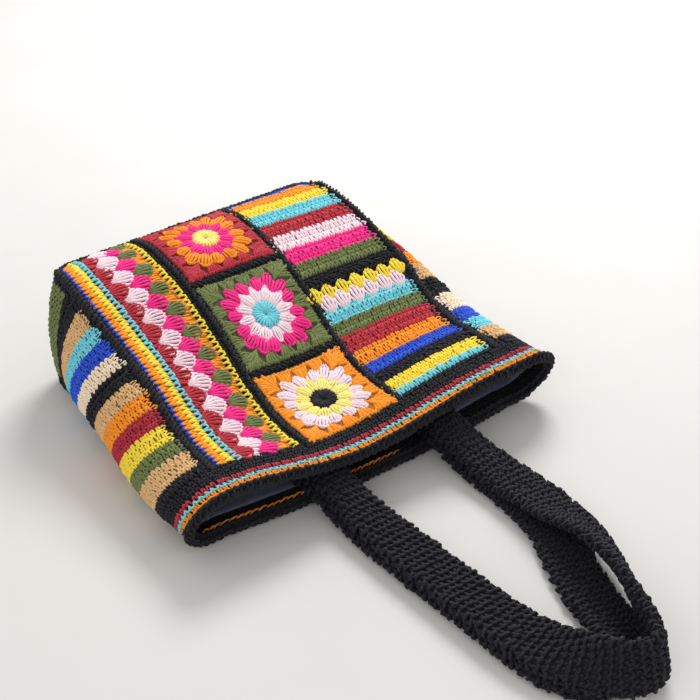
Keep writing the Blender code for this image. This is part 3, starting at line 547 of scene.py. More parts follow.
LEG = [(0.02, -0.52, 1.3), (-0.11, -0.02, 2.5), (-0.29, 0.50, 2.4), (-0.38, 1.0, 0.6)]
FOOT = [(-0.10, -0.50, 1.2), (-0.22, 0.05, 2.1), (-0.16, 0.66, 1.0)]
BAR = [(-0.56, 0.50, 0.7), (-0.22, 0.78, 2.3), (0.24, 0.74, 2.3), (0.56, 0.42, 0.7)]
SHORT_LEG = [(0.0, -0.38, 0.8), (-0.20, 0.34, 2.4), (-0.37, 1.0, 0.5)]
BORDER_LEG = [(0.02, 0.0, 0.8), (-0.26, 0.5, 1.9), (-0.42, 1.0, 0.7)]
VEE, PLAIN_VEE, BORDER_VEE = ([leg, mirrored(leg)] for leg in (LEG, SHORT_LEG, BORDER_LEG))
PURL = [FOOT, mirrored(FOOT), BAR]
STITCH, ROW = 0.0058, 0.0061             # width and height of a single crochet in this yarn
print("a single crochet in mm:", STITCH / MM, "by", ROW / MM)


# %% Laying stitches
def lay(piece, cloth, forms, origin, across, growth, colour, thick,
        sides=5, lift=0.0, wander=0.075, taper=None):
    """One stitch at each origin; across and growth are its width and height as vectors."""
    shift = rng.normal(0, wander, (len(origin), 1, 2))
    swell = rng.uniform(0.86, 1.14, (len(origin), 1))
    for form in forms:
        x, y, z = np.array(form).T
        x, y = x + shift[..., 0], y + shift[..., 1] * 0.8
        ab = origin[:, None] + x[..., None] * across[:, None] + y[..., None] * growth[:, None]
        path, normal = cloth.at(ab[..., 0], ab[..., 1], (z * swell + lift) * MM)
        piece.yarn(path, normal, thick * MM * swell[:, 0], colour, sides, taper)


def row(start, end, growth, pitch=STITCH):
    """Places of the stitches of a straight row, for lay()."""
    start, end = np.array(start, float), np.array(end, float)
    count = max(1, round(float(np.linalg.norm(end - start)) / pitch))
    step = (end - start) / count
    origin = start + step * (np.arange(count)[:, None] + 0.5)
    return origin, np.tile(step, (count, 1)), np.tile(np.array(growth, float), (count, 1))


def edging(piece, cloth, start, end, growth, thick, sides, lift, pitch=STITCH):
    """A black row of plain stitches that holds an edge."""
    where = row(start, end, growth, pitch)
    lay(piece, cloth, PLAIN_VEE, *where, "black", thick, sides, lift=lift)


def marks(low, high, step):
    return np.linspace(low, high, max(1, round((high - low) / step)) + 1)


# %% [markdown]
# A shell or a petal is a bundle of tall stitches worked into one place. Its strands part
# from the foot, swell out in the middle and meet again at the top, so it looks like a
# small round cushion. One function draws them all; only the outline differs.


# %% Bundles of tall stitches
def puff(strands, widths, top, dome):
    """Forms of one bundle. widths: half width at five heights; top: roundness of its end."""
    high = np.array([-0.08, 0.24, 0.58, 0.86, 1.03])
    round_end = np.array([0.0, 0.05, 0.30, 0.75, 1.0]) * top
    rise = np.array([0.3, 1.5, 2.0, 1.6, 0.2])
    swell = np.array([0.2, 0.9, 1.0, 0.9, 0.5]) * dome
    forms = []
    for k in np.linspace(-1, 1, strands):
        y = high - round_end * k * k
        z = rise + swell * (1 - k * k)
        forms.append([(k * w, b, c) for w, b, c in zip(widths, y, z)])
    # The heads of the stitches: a short arch between each two strands.
    side = 1.35 / (strands - 1) * widths[-1]
    for k in (np.arange(1 - strands, strands, 2.0)[:-1] + 1) / (strands - 1):
        tip = 1.06 - top * k * k
        bulge = 0.6 * dome * (1 - k * k)
        foot = [(k * widths[-1] + end, tip - 0.13, 1.6 + bulge) for end in (-side, side)]
        forms.append([foot[0], (k * widths[-1], tip, 2.0 + bulge), foot[1]])
    return forms


SHELL = puff(6, (0.10, 0.30, 0.47, 0.47, 0.40), 0.28, 1.9)
SMALL_SHELL = puff(5, (0.10, 0.30, 0.45, 0.40, 0.28), 0.25, 1.3)
PETAL = puff(5, (0.10, 0.34, 0.48, 0.40, 0.20), 0.14, 1.6)
CLUSTER = puff(5, (0.14, 0.34, 0.47, 0.46, 0.34), 0.22, 1.9)
print("strands and heads in a shell:", len(SHELL))


def bundles(piece, cloth, forms, feet, direction, reach, width, colour, thick, lift, sides=5):
    """The same bundle at every foot; direction one vector or one for each."""
    ray = np.broadcast_to(np.array(direction, float), feet.shape)
    along = np.stack([-ray[:, 1], ray[:, 0]], -1)
    lay(piece, cloth, forms, feet, along * width, ray * reach, colour, thick, sides, lift, 0.025)


# %% [markdown]
# ## Striped patches
# Rows of single crochet are worked to and fro, in a new colour every few rows. The yarn
# turns round at the end of each row, so the ends are ragged and leave loose loops.

# %% Rows that differ from single crochet
END_LOOP = [(-0.30, -0.35, 1.0), (-0.34, 0.55, 2.1), (0.0, 1.05, 2.3), (0.34, 0.55, 2.0),
            (0.30, -0.35, 1.0)]
TALL_PITCH = 0.0170      # from one bundle to the next in a row of small shells
TALL_ROWS = {"blobs": (0.0045, 0.5, 0.8), "peaks": (0.003, 0, 0.2)}     # overlap, start, lift
PATCH_LOW, PATCH_HIGH = -0.0015, 0.0006  # the cloth behind the yarn, counted like its heights
EDGE_ROW = 0.004         # least width of the black row up each side


# %% A striped patch
def striped(piece, cloth, a_span, b_span, bands, fine, sides, pitch=STITCH, deep=ROW):
    """Rows across the patch. bands: (colour, where it ends in mm, kind); black at both sides."""
    a0, a1 = a_span
    left, right = a0 + sides[0], a1 - sides[1]
    corners = 5 if fine else 4
    turns = (VEE, PURL) if fine else (PLAIN_VEE, PLAIN_VEE)
    limits, at = [], b_span[0]
    for colour, end, *kind in bands:
        limits.append((at, min(end * MM, b_span[1]), colour, kind[0] if kind else "rows"))
        at = end * MM

    def tint(a, b):
        if a < left or a > right:
            return "black"
        return next((c for lo, hi, c, kind in limits if lo <= b <= hi and kind != "peaks"), "black")

    b_marks = [b_span[0]] + [x for lo, hi, *_ in limits for x in ((lo + hi) / 2, hi)]
    a_marks = np.concatenate([[a0], marks(left, right, 0.009), [a1]])
    piece.slab(cloth, a_marks, np.unique(np.round(b_marks, 6)), PATCH_LOW, PATCH_HIGH, tint)
    near, far = (max(side, EDGE_ROW) for side in sides)
    for lo, wide in ((a0, near), (a1 - far, far)):
        edging(piece, cloth, (lo, b_span[0]), (lo, b_span[1]), (wide, 0), 1.3, corners, -0.5, pitch)
    turn, thick = 0, 1.45 if deep == ROW else 1.35
    for lo, hi, colour, kind in limits:
        if kind in TALL_ROWS:
            overlap, start, lift = TALL_ROWS[kind]
            room = right - a0 - sides[0]
            count = round(room / TALL_PITCH)
            feet = left + (np.arange(count + (start == 0)) + start) * room / count
            feet = np.stack([feet, np.full(len(feet), hi + 0.003)], -1)
            bundles(piece, cloth, SMALL_SHELL, feet, (0, -1), hi - lo + overlap,
                    TALL_PITCH * 1.16, colour, 1.6, lift)
            continue
        rows = max(1, round((hi - lo) / deep))
        height = (hi - lo) / rows
        for k in range(rows):
            ragged = rng.uniform(-0.0034, 0.0020, 2) if colour != "black" else (0, 0)
            begin, stop = left + ragged[0], right - ragged[1]
            where = row((begin, lo + k * height), (stop, lo + k * height), (0, height), pitch)
            lay(piece, cloth, turns[turn % 2], *where, colour, thick, corners)
            turn += 1
            if fine and colour != "black":
                half_up = lo + (k + 0.5) * height
                ends = np.array([[begin, half_up], [stop, half_up]])
                reach = rng.uniform(0.0026, 0.0072, 2)
                out = np.array([[-reach[0], 0.0], [reach[1], 0.0]])
                up = np.array([[0.0, height]] * 2)
                lay(piece, cloth, [END_LOOP], ends, up, out, colour, 1.1, 4)


# %% The striped column of the front
BASE_BANDS = [("black", 7.5), ("blue", 12), ("orange", 30), ("yellow", 47), ("teal", 67),
              ("brick", 88), ("pale_pink", 109), ("hot_pink", 128), ("olive", 146),
              ("black", 151)]
MIDDLE_BANDS = [("black", 160), ("yellow", 173, "peaks"), ("pale_pink", 186, "blobs"),
                ("teal", 202), ("olive", 219), ("brick", 242), ("orange", 263), ("blue", 280),
                ("black", 286)]
MOUTH_BANDS = [("black", 299), ("yellow", 317), ("teal", 326), ("black", 329.5)]
SEAM_STOP, EDGE_STOP, SIDE_STOP = 0.0036, 0.0043, 0.0043     # patches stop short of the joins
V_STOP = PANEL_LENGTH - 0.0005
STRIPED_COLUMN = (("base", (EDGE_STOP, TOP_SPLIT - SEAM_STOP), BASE_BANDS),
                  ("middle", (TOP_SPLIT + SEAM_STOP, LOW_SPLIT - SEAM_STOP), MIDDLE_BANDS),
                  ("mouth", (LOW_SPLIT + SEAM_STOP, V_STOP), MOUTH_BANDS))


def stripe_column(face, cloth, fine):
    span = (SEAM_RIGHT + SEAM_STOP, HALF_WIDTH - EDGE_STOP)
    for label, b_span, bands in STRIPED_COLUMN:
        piece = Piece(f"{face}_stripes_{label}_crochet")
        striped(piece, cloth, span, b_span, bands, fine, (0.0012, 0.0080))
        piece.build("panel_stripes", f"{face}_stripes_{label}")


stripe_column("front", front, True)

# %% [markdown]
# ## The shell strip
# A shell is five or more tall stitches worked into one hole, so their tops make a
# scallop. A single crochet holds it down on each side, and the next row sets its shells
# between them. Plain rows with open loops run along both sides of the strip.

# %% Rows of the strip: colour, width in mm, kind
HOLE_LOOP = [(-0.44, -0.10, 0.8), (-0.46, 0.34, 2.0), (-0.22, 0.90, 2.5), (0.22, 0.90, 2.5),
             (0.46, 0.34, 2.0), (0.44, -0.15, 0.6)]      # the cloth behind, black and darkened further as painted shade, shows through it
SHELL_ROWS = [("blue", 3.2, "plain"), ("orange", 8.0, "plain"), ("yellow", 7.0, "plain"),
              ("teal", 7.0, "holes"), ("brick", 12.0, "shell"), ("pale_pink", 14.0, "shell"),
              ("hot_pink", 13.0, "shell"), ("olive", 10.5, "small"), ("orange", 8.0, "filler"),
              ("yellow", 6.5, "holes")]
SHELL_PITCH = 0.0300
FIRST_SHELL_ROW = 4


# %% A row of shells
def shell_row(piece, cloth, lo, hi, b_lo, b_hi, offset, colour, wide, lift, sides, vee):
    """Shells from lo to hi, with two stitches between each two; offset in pitches."""
    first, last = b_lo + SHELL_PITCH * (offset - 1), b_hi + SHELL_PITCH * 0.4
    centre = np.arange(first, last, SHELL_PITCH)
    knots = centre + SHELL_PITCH / 2
    centre = centre[(centre > b_lo - 0.001) & (centre < b_hi + 0.001)]
    centre = np.clip(centre, b_lo + 0.008, b_hi - 0.008)
    feet = np.stack([np.full(len(centre), lo - 0.0030), centre], -1)
    bundles(piece, cloth, SHELL, feet, (1, 0), hi - lo + 0.0065, wide, colour, 1.55, lift, sides)
    knots = knots[(knots > b_lo + 0.002) & (knots < b_hi - 0.002)]
    for shift in (-0.0034, 0.0034):
        ends = np.stack([np.full(len(knots), lo - 0.001), knots + shift], -1)
        lay(piece, cloth, vee, ends, np.tile([0.0, 0.0056], (len(knots), 1)),
            np.tile([hi - lo - 0.001, 0.0], (len(knots), 1)), colour, 1.3, sides, lift=-0.7)


# %% The left column of the front
def shell_strip(face, cloth, fine):
    piece = Piece(f"{face}_shell_strip_crochet")
    a0, a1 = -HALF_WIDTH + EDGE_STOP, SEAM_LEFT - SEAM_STOP
    b0, b1 = EDGE_STOP, V_STOP
    b_lo, b_hi = b0 + 0.003, b1 - 0.003
    sides, vee = (5, VEE) if fine else (4, PLAIN_VEE)
    at, stops = a0 + 0.0026, []
    for colour, depth, kind in SHELL_ROWS:
        stops.append((at, at + depth * MM, colour, kind))
        at += depth * MM

    def tint(a, b):
        if b < b0 + 0.004 or b > b_hi:
            return "black"
        return next((c for lo, hi, c, kind in stops if lo <= a <= hi and kind != "holes"), "black")

    a_marks = np.unique(np.array([a0] + [s[0] for s in stops] + [at, a1]))
    b_marks = np.concatenate([[b0], marks(b0 + 0.004, b_hi, 0.010), [b1]])
    piece.slab(cloth, a_marks, b_marks, PATCH_LOW, PATCH_HIGH, tint)
    for lo, hi in ((a0, a0 + 0.003), (at, a1)):
        edging(piece, cloth, (lo, b0), (lo, b1), (hi - lo, 0), 1.2, sides, -0.4)
    for lo, grow in ((b0, 0.005), (b1 - 0.004, 0.004)):
        edging(piece, cloth, (a0, lo), (a1, lo), (0, grow), 1.2, sides, -0.3)
    offset = 0.5
    for n, (lo, hi, colour, kind) in enumerate(stops):
        if kind == "plain":
            where = row((lo, b_lo), (lo, b_hi), (hi - lo, 0))
            lay(piece, cloth, vee, *where, colour, 1.45 if hi - lo > 0.004 else 1.0, sides)
        elif kind == "holes":
            where = row((lo - 0.001, b_lo), (lo - 0.001, b_hi), (hi - lo, 0), 0.0066)
            lay(piece, cloth, [HOLE_LOOP], *where, colour, 1.2, sides)
        elif kind == "filler":
            # This row fills the dips between the shells before it, so it runs in a wave.
            where = row((lo - 0.004, b_lo), (lo - 0.004, b_hi), (hi - lo + 0.004, 0))
            turn = 2 * math.pi * ((where[0][:, 1] - b_lo) / SHELL_PITCH - offset)
            where[0][:, 0] -= 0.0030 * np.cos(turn)
            lay(piece, cloth, vee, *where, colour, 1.5, sides, lift=-0.5)
        else:
            wide, over = (0.0225, 0.0) if kind == "shell" else (0.0205, 0.5)
            lift = 0.12 * (n - FIRST_SHELL_ROW) + over
            shell_row(piece, cloth, lo, hi, b_lo, b_hi, offset, colour, wide, lift, sides, vee)
            offset = 0.5 if offset == 1.0 else 1.0
    piece.build("shell_strip", f"{face}_shell_strip")


shell_strip("front", front, True)

# %% [markdown]
# ## Granny squares
# Each square is worked outwards in rounds: a round heart of twenty-four tall stitches, a
# ring of twelve petals, a ring of clusters between them with a double one at every
# corner, then groups of tall stitches that fill up to the square. The strands have to lie
# close, so petals are a little wider than their share of the round and overlap.

# %% Strands of the heart and of the ground
HEART = [(0.0, 0.10, 1.2), (0.05, 0.40, 2.5), (-0.05, 0.75, 2.9), (0.0, 1.05, 1.0)]
STRAND = [(0.0, -0.10, 0.6), (-0.12, 0.25, 1.9), (0.14, 0.65, 2.3), (0.0, 1.03, 1.1)]
SPREADING = (0.6, 0.95, 1.15, 1.05)      # a strand is thin at its foot, where many meet
SPOKES, PETALS = 24, 12
GROUND_STRANDS = 27      # tall stitches along each side of the ground


def rays(angles):
    return np.stack([np.cos(angles), np.sin(angles)], -1)


# %% The rounds, from the outside in
def border_rounds(piece, cloth, centre, half, ground, sides):
    """A black row along each side, and a row of the ground's colour inside it."""
    corners = [centre + np.array(c) * half for c in ((-1, -1), (1, -1), (1, 1), (-1, 1))]
    for p, q in zip(corners, corners[1:] + corners[:1]):
        inward = np.array([-(q - p)[1], (q - p)[0]])
        edging(piece, cloth, p, q, inward / np.linalg.norm(inward) * 0.0034, 1.15, sides, -0.4)
        toward = (centre - (p + q) / 2) / np.linalg.norm(centre - (p + q) / 2)
        where = row(p + toward * 0.0062, q + toward * 0.0062, -toward * 0.0044, 0.0050)
        lay(piece, cloth, BORDER_VEE, *where, ground, 1.35, sides, lift=0.9)


def ground_rounds(piece, cloth, centre, edge, ground, sides):
    """Tall stitches in groups, each group from one place between the clusters."""
    k = np.linspace(-0.965, 0.965, GROUND_STRANDS)
    depth = np.array([0.036, 0.0345, 0.0335, 0.0345, 0.036])
    for n in range(4):
        out = np.round(rays(math.pi / 2 * n))
        along = np.array([-out[1], out[0]])
        reach, wide = float(np.abs(out) @ edge), float(np.abs(along) @ edge)
        tip = along * k[:, None] * wide + out * (reach - 0.0004)
        groups = np.array([-0.72, -0.38, 0.0, 0.38, 0.72]) * wide
        near = np.argmin(np.abs(k[:, None] * wide - groups), axis=1)
        root = along * (groups[near] * 0.62 + k * wide * 0.38)[:, None] + out * depth[near][:, None]
        lay(piece, cloth, [STRAND], centre + root, np.tile(along * 0.0030, (GROUND_STRANDS, 1)),
            tip - root, ground, 1.6, sides, lift=0.1, taper=SPREADING)
        diagonal = (out + along) / math.sqrt(2)
        fan = rays(np.arctan2(diagonal[1], diagonal[0]) + np.radians([-20, -7, 7, 20]))
        lay(piece, cloth, [STRAND], centre + np.tile(diagonal * 0.043, (4, 1)),
            np.tile(along * 0.003, (4, 1)), fan * 0.0235, ground, 1.6, sides,
            lift=0.2, taper=SPREADING)


def flower(piece, cloth, centre, outer, inner, heart, sides):
    """Clusters, petals and the heart."""
    ring = 2 * math.pi * np.arange(PETALS) / PETALS
    between = ring + math.pi / PETALS
    at_corner = np.arange(PETALS) % 3 == 1
    doubled = np.concatenate([between[at_corner] - 0.18, between[at_corner] + 0.18])
    for forms, angles, start, reach, width, colour, thick, lift in (
            (CLUSTER, between[~at_corner], 0.0240, 0.0158, 0.0136, outer, 1.5, 0.5),
            (CLUSTER, doubled, 0.0250, 0.0205, 0.0142, outer, 1.5, 0.5),
            (PETAL, ring, 0.0118, 0.0182, 0.0126, inner, 1.45, 0.8)):
        bundles(piece, cloth, forms, centre + rays(angles) * start, rays(angles), reach, width,
                colour, thick, lift, sides)
    spokes = 2 * math.pi * np.arange(SPOKES) / SPOKES
    lay(piece, cloth, [HEART], np.tile(centre, (SPOKES, 1)), rays(spokes + math.pi / 2) * 0.003,
        rays(spokes) * 0.0146, heart, 1.5, sides, 1.2, 0.02, taper=(0.45, 0.75, 1.1, 0.9))


# %% A granny square
def granny(face, label, cloth, fine, ground, outer, inner, heart, v_low, v_high):
    piece = Piece(f"{face}_square_{label}_crochet")
    sides = 5 if fine else 4
    a0, a1 = SEAM_LEFT + SEAM_STOP, SEAM_RIGHT - SEAM_STOP
    centre = np.array([(a0 + a1) / 2, (v_low + v_high) / 2])
    half = np.array([(a1 - a0) / 2, (v_high - v_low) / 2])
    edge = half - 0.0022

    def tint(a, b):
        x, y = (a - centre[0]) / edge[0], (b - centre[1]) / edge[1]
        if max(abs(x), abs(y)) > 1:
            return "black"
        r = math.hypot(x, y)
        return heart if r < 0.27 else inner if r < 0.50 else outer if r < 0.66 else ground

    a_marks, b_marks = (np.concatenate([[c - h], marks(c - e, c + e, 0.0065), [c + h]])
                        for c, h, e in zip(centre, half, edge))
    piece.slab(cloth, a_marks, b_marks, PATCH_LOW, 0.0016, tint)
    border_rounds(piece, cloth, centre, half, ground, sides)
    ground_rounds(piece, cloth, centre, edge, ground, sides)
    flower(piece, cloth, centre, outer, inner, heart, sides)
    piece.build("square_" + label, f"{face}_square_{label}")


SQUARES = (("red", "brick", "orange", "magenta", "pale_yellow"),
           ("olive", "olive", "hot_pink", "pale_pink", "teal"),
           ("orange", "orange", "pale_pink", "pale_yellow", "black"))


def square_column(face, cloth, fine):
    for n, (label, *colours) in enumerate(SQUARES):
        low = n * PATCH_PITCH + (EDGE_STOP if n == 0 else SEAM_STOP)
        high = (n + 1) * PATCH_PITCH - (0.0005 if n == 2 else SEAM_STOP)
        granny(face, label, cloth, fine, *colours, low, high)


square_column("front", front, True)

# %% [markdown]
# ## The side strip and the base
# One long strip goes down the left side, under the base and up the right side. Its
# stripes are wider, and its rows run aslant where the bag has sagged. The olive patches
# of the base reach round both corners.

# %% Side patches
LEFT_NEAR = [("black", 82), ("beige", 108), ("teal", 128), ("blue", 150), ("cream", 171),
             ("black", 178)]
LEFT_FAR = [("black", 193), ("beige", 214), ("orange", 234), ("crimson", 253), ("yellow", 274),
            ("olive", 292), ("beige", 317), ("black", 329.5)]
RIGHT_NEAR = [("black", 80), ("beige", 99), ("olive", 117), ("yellow", 135), ("crimson", 153),
              ("orange", 171), ("beige", 190), ("black", 198)]
RIGHT_FAR = [("black", 216), ("cream", 243), ("blue", 268), ("teal", 291), ("beige", 316),
             ("black", 329.5)]
SIDE_SPAN = (0.0052, BAG_DEPTH - 0.0052)
WRAP_STOP = 0.0065
SIDES = (("left", left_side, LEFT_SPLIT, LEFT_NEAR, LEFT_FAR),
         ("right", right_side, RIGHT_SPLIT, RIGHT_NEAR, RIGHT_FAR))

for label, cloth, split, near, far in SIDES:
    for end, b_span, bands in (("base", (BASE_WRAP + WRAP_STOP, split - SIDE_STOP), near),
                               ("mouth", (split + SIDE_STOP, V_STOP), far)):
        piece = Piece(f"{label}_side_{end}_crochet")
        striped(piece, cloth, SIDE_SPAN, b_span, bands, True, (0.0054, 0.0060), 0.0056, 0.0052)
        piece.build("side_stripes", f"{label}_side_{end}")

# %% Base patches
OLIVE_BANDS = [("black", 10.5), ("olive", 117.5), ("black", 122)]
for label, a_span, ends in (("left", (-WRAP_END + WRAP_STOP, -SEAM_STOP), (0.002, 0.006)),
                            ("right", (SEAM_STOP, WRAP_END - WRAP_STOP), (0.006, 0.002))):
    piece = Piece(f"base_patch_{label}_crochet")
    b_span = (0.0060, BAG_DEPTH - 0.0060)
    striped(piece, base_cloth, a_span, b_span, OLIVE_BANDS, False, ends, 0.0066)
    piece.build("base_olive", f"base_patch_{label}")

# %% The back panel, the same patchwork
for column in (shell_strip, square_column, stripe_column):
    column("back", back, False)

# %% [markdown]
# ## Joins
# The patches are joined by a raised ridge of black slip stitches, which looks like a
# slanted rope. Each stitch is one stroke over the ridge, with a dark core below it.

# %% Ropes of slip stitch
STROKE = [(-0.85, 0.05, 0.2), (-0.45, 0.20, 2.0), (0.0, 0.5, 2.9), (0.45, 0.80, 2.0),
          (0.85, 0.95, 0.2)]
UNDER = [(-0.85, 0.95, -0.2), (-0.30, 0.70, 1.4), (0.30, 0.30, 1.4), (0.85, 0.05, -0.2)]
SEAM_ROPE, EDGE_ROPE = 0.0068, 0.0086    # widths of the two ropes
ROPE_PITCH = 0.0052


def rope(piece, cloth, start, end, width, lift, thick=1.3, fine=True):
    """A raised row along the line from start to end, width wide and centred on it."""
    start, end = np.array(start, float), np.array(end, float)
    step = (end - start) / np.linalg.norm(end - start)
    out = np.array([-step[1], step[0]]) * width
    where = row(start - out / 2, end - out / 2, out, ROPE_PITCH)
    forms, sides = ([STROKE, UNDER], 5) if fine else ([STROKE], 4)
    lay(piece, cloth, forms, *where, "black", thick, sides, lift=lift)


def all_black(a, b):
    return "black"


# %% Joins of a panel
SHORT_JOINS = (("join_low", PATCH_PITCH, SEAM_LEFT, SEAM_RIGHT),
               ("join_high", 2 * PATCH_PITCH, SEAM_LEFT, SEAM_RIGHT),
               ("join_stripe_low", TOP_SPLIT, SEAM_RIGHT, HALF_WIDTH),
               ("join_stripe_high", LOW_SPLIT, SEAM_RIGHT, HALF_WIDTH))


def joins(face, cloth, fine):
    """Two long seams and the short ones between the patches of a panel."""
    for label, a in (("left", SEAM_LEFT), ("right", SEAM_RIGHT)):
        piece = Piece(f"{face}_seam_{label}_crochet")
        rope(piece, cloth, (a, EDGE_STOP), (a, V_STOP), SEAM_ROPE, 1.0, fine=fine)
        piece.slab(cloth, [a - 0.003, a, a + 0.003], marks(EDGE_STOP, V_STOP, 0.01),
                   -0.001, 0.0018, all_black)
        piece.build("black_joins", f"{face}_seam_{label}")
    for label, v, lo, hi in SHORT_JOINS:
        piece = Piece(f"{face}_{label}_crochet")
        rope(piece, cloth, (lo + 0.004, v), (hi - 0.004, v), SEAM_ROPE, 0.8, fine=fine)
        piece.slab(cloth, marks(lo + 0.004, hi - 0.004, 0.01), [v - 0.003, v, v + 0.003],
                   -0.001, 0.0016, all_black)
        piece.build("black_joins", f"{face}_{label}")


joins("front", front, True)
joins("back", back, False)


# %% Edges between the panels and the side strip
def edge_join(face, s_left, s_right, w, fine):
    """From the mouth along one side, round the base and back up the other side."""
    piece = Piece(f"{face}_edge_join_crochet")
    for s in (s_left, s_right):
        rope(piece, tube_cloth, (s, 0.002), (s, V_STOP), EDGE_ROPE, 1.0, 1.45, fine)
        piece.slab(tube_cloth, [s - 0.004, s, s + 0.004], marks(0.001, V_STOP, 0.01),
                   -0.002, 0.002, all_black)
    rope(piece, base_cloth, (-HALF_WIDTH, w), (HALF_WIDTH, w), EDGE_ROPE, 1.0, 1.45, fine)
    piece.build("black_joins", f"{face}_edge_join")


edge_join("front", 0.0, BAG_WIDTH, 0.0012, True)
edge_join("back", RING - BAG_DEPTH, BAG_WIDTH + BAG_DEPTH, BAG_DEPTH - 0.0012, False)
for label, cloth, split, *_ in SIDES:
    for end, v in (("base", BASE_WRAP), ("middle", split)):
        piece = Piece(f"{label}_side_join_{end}_crochet")
        rope(piece, cloth, (0.006, v), (BAG_DEPTH - 0.006, v), SEAM_ROPE, 0.6)
        piece.build("black_joins", f"{label}_side_join_{end}")
piece = Piece("base_join_crochet")
rope(piece, base_cloth, (0.0, 0.006), (0.0, BAG_DEPTH - 0.006), SEAM_ROPE, 0.8)
piece.build("black_joins", "base_join")

# %% [markdown]
# ## The mouth
# Black rows run round the whole mouth, then three thin rows of chain in red, blue and
# orange, and a thick edge that rolls outwards. Inside, the back of the orange row shows.

# %% The rolled edge as a surface of its own
ROLL_RADIUS, ROLL_CENTRE = 0.0034, 0.3672
ROLL_START, ROLL_TURN = math.radians(115), math.radians(245)
ROLL_LENGTH = ROLL_RADIUS * ROLL_TURN


def roll_place(s, q):
    turn = ROLL_START - q / ROLL_RADIUS
    b = ROLL_CENTRE + ROLL_RADIUS * np.cos(turn)
    return tube_cloth.at(s, b, 0.0010 + ROLL_RADIUS * np.sin(turn))[0]


roll_cloth = Cloth(roll_place, (-0.01, RING + 0.01), (0.0, ROLL_LENGTH), step=0.0015)
half_way = roll_cloth.p.shape[1] // 2
middle = roll_cloth.p[:, half_way]
core = tube_cloth.at(np.linspace(-0.01, RING + 0.01, len(middle)),
                     np.full(len(middle), ROLL_CENTRE), np.zeros(len(middle)))[0]
if np.mean(np.sum((middle - core) * roll_cloth.n[:, half_way], -1)) < 0:
    roll_cloth = roll_cloth.flipped()
inside_cloth = tube_cloth.flipped(-0.0012)
print("the edge rolls over", round(ROLL_LENGTH / MM, 1), "mm of cloth")

# %% Rows of the mouth band
CHAIN = [(-0.75, 0.10, 0.3), (-0.30, 0.22, 1.9), (0.10, 0.50, 2.5), (0.50, 0.76, 1.9),
         (0.95, 0.92, 0.3)]
KNOB = [(-0.50, 0.20, 0.0), (-0.28, 0.48, 1.5), (0.05, 0.60, 2.2), (0.34, 0.44, 1.4),
        (0.50, 0.20, 0.0)]
BAND_START = PANEL_LENGTH + 0.0005
BAND_ROWS = [BAND_START + b for b in (0.0, 0.0052, 0.0104, 0.0155, 0.0213, 0.0271, 0.0329)]


def band_row(piece, cloth, b, depth, colour, forms, pitch, thick, lift=0.0, sides=4, shift=0.0):
    where = row((shift, b), (RING + shift, b), (0, depth), pitch)
    where[0][:, 0] %= RING
    lay(piece, cloth, forms, *where, colour, thick, sides, lift=lift, wander=0.08)


# %% The mouth band
piece = Piece("mouth_band_crochet")
around = marks(0.0, RING, 0.008)
piece.slab(tube_cloth, around, np.array(BAND_ROWS + [ROLL_CENTRE]), -0.0018, 0.0006, all_black)
piece.slab(roll_cloth, around, np.linspace(0, ROLL_LENGTH, 7), -0.0026, 0.0004, all_black)
for b in BAND_ROWS[:3]:
    band_row(piece, tube_cloth, b, 0.0052, "black", PLAIN_VEE, STITCH, 1.3)
band_row(piece, tube_cloth, BAND_ROWS[3], 0.0056, "brick", PLAIN_VEE, 0.0054, 1.15, 0.3, 5)
band_row(piece, tube_cloth, BAND_ROWS[4], 0.0058, "teal", [HOLE_LOOP], 0.0062, 1.15, 0.8)
band_row(piece, tube_cloth, BAND_ROWS[5], 0.0068, "orange", PURL, 0.0058, 1.3, 0.5)
depth = ROLL_LENGTH / 3
for k, forms in enumerate(([KNOB, SHORT_LEG], [KNOB, SHORT_LEG], [KNOB])):
    band_row(piece, roll_cloth, k * depth, depth, "black", forms, 0.0070, 1.75, 0.0, 4,
             0.0035 * (k % 2))
for k in range(4):
    b = 0.334 + k * 0.0065
    band_row(piece, inside_cloth, b, 0.0065, "black", PLAIN_VEE, 0.0064, 1.2, -0.3)
# The orange row shows on the inside along the back panel, from the left end to the middle.
left_end = RING - BAG_DEPTH
where = row((left_end - 0.200, 0.3604), (left_end + 0.020, 0.3604), (0, 0.0034), 0.0075)
lay(piece, inside_cloth, [CHAIN], *where, "orange", 0.9, 4, lift=1.4)
piece.build("mouth_rows", "mouth_band")

# %% [markdown]
# ## Straps
# Each strap is a flat tube of dense black crochet, 50 mm wide and gathered where it is
# sewn into the mouth. The front one lies with its far bend stood on edge. A curve with an
# array of stitches would shear at the bend, so the strap is made a surface too: along its
# path and round its section.

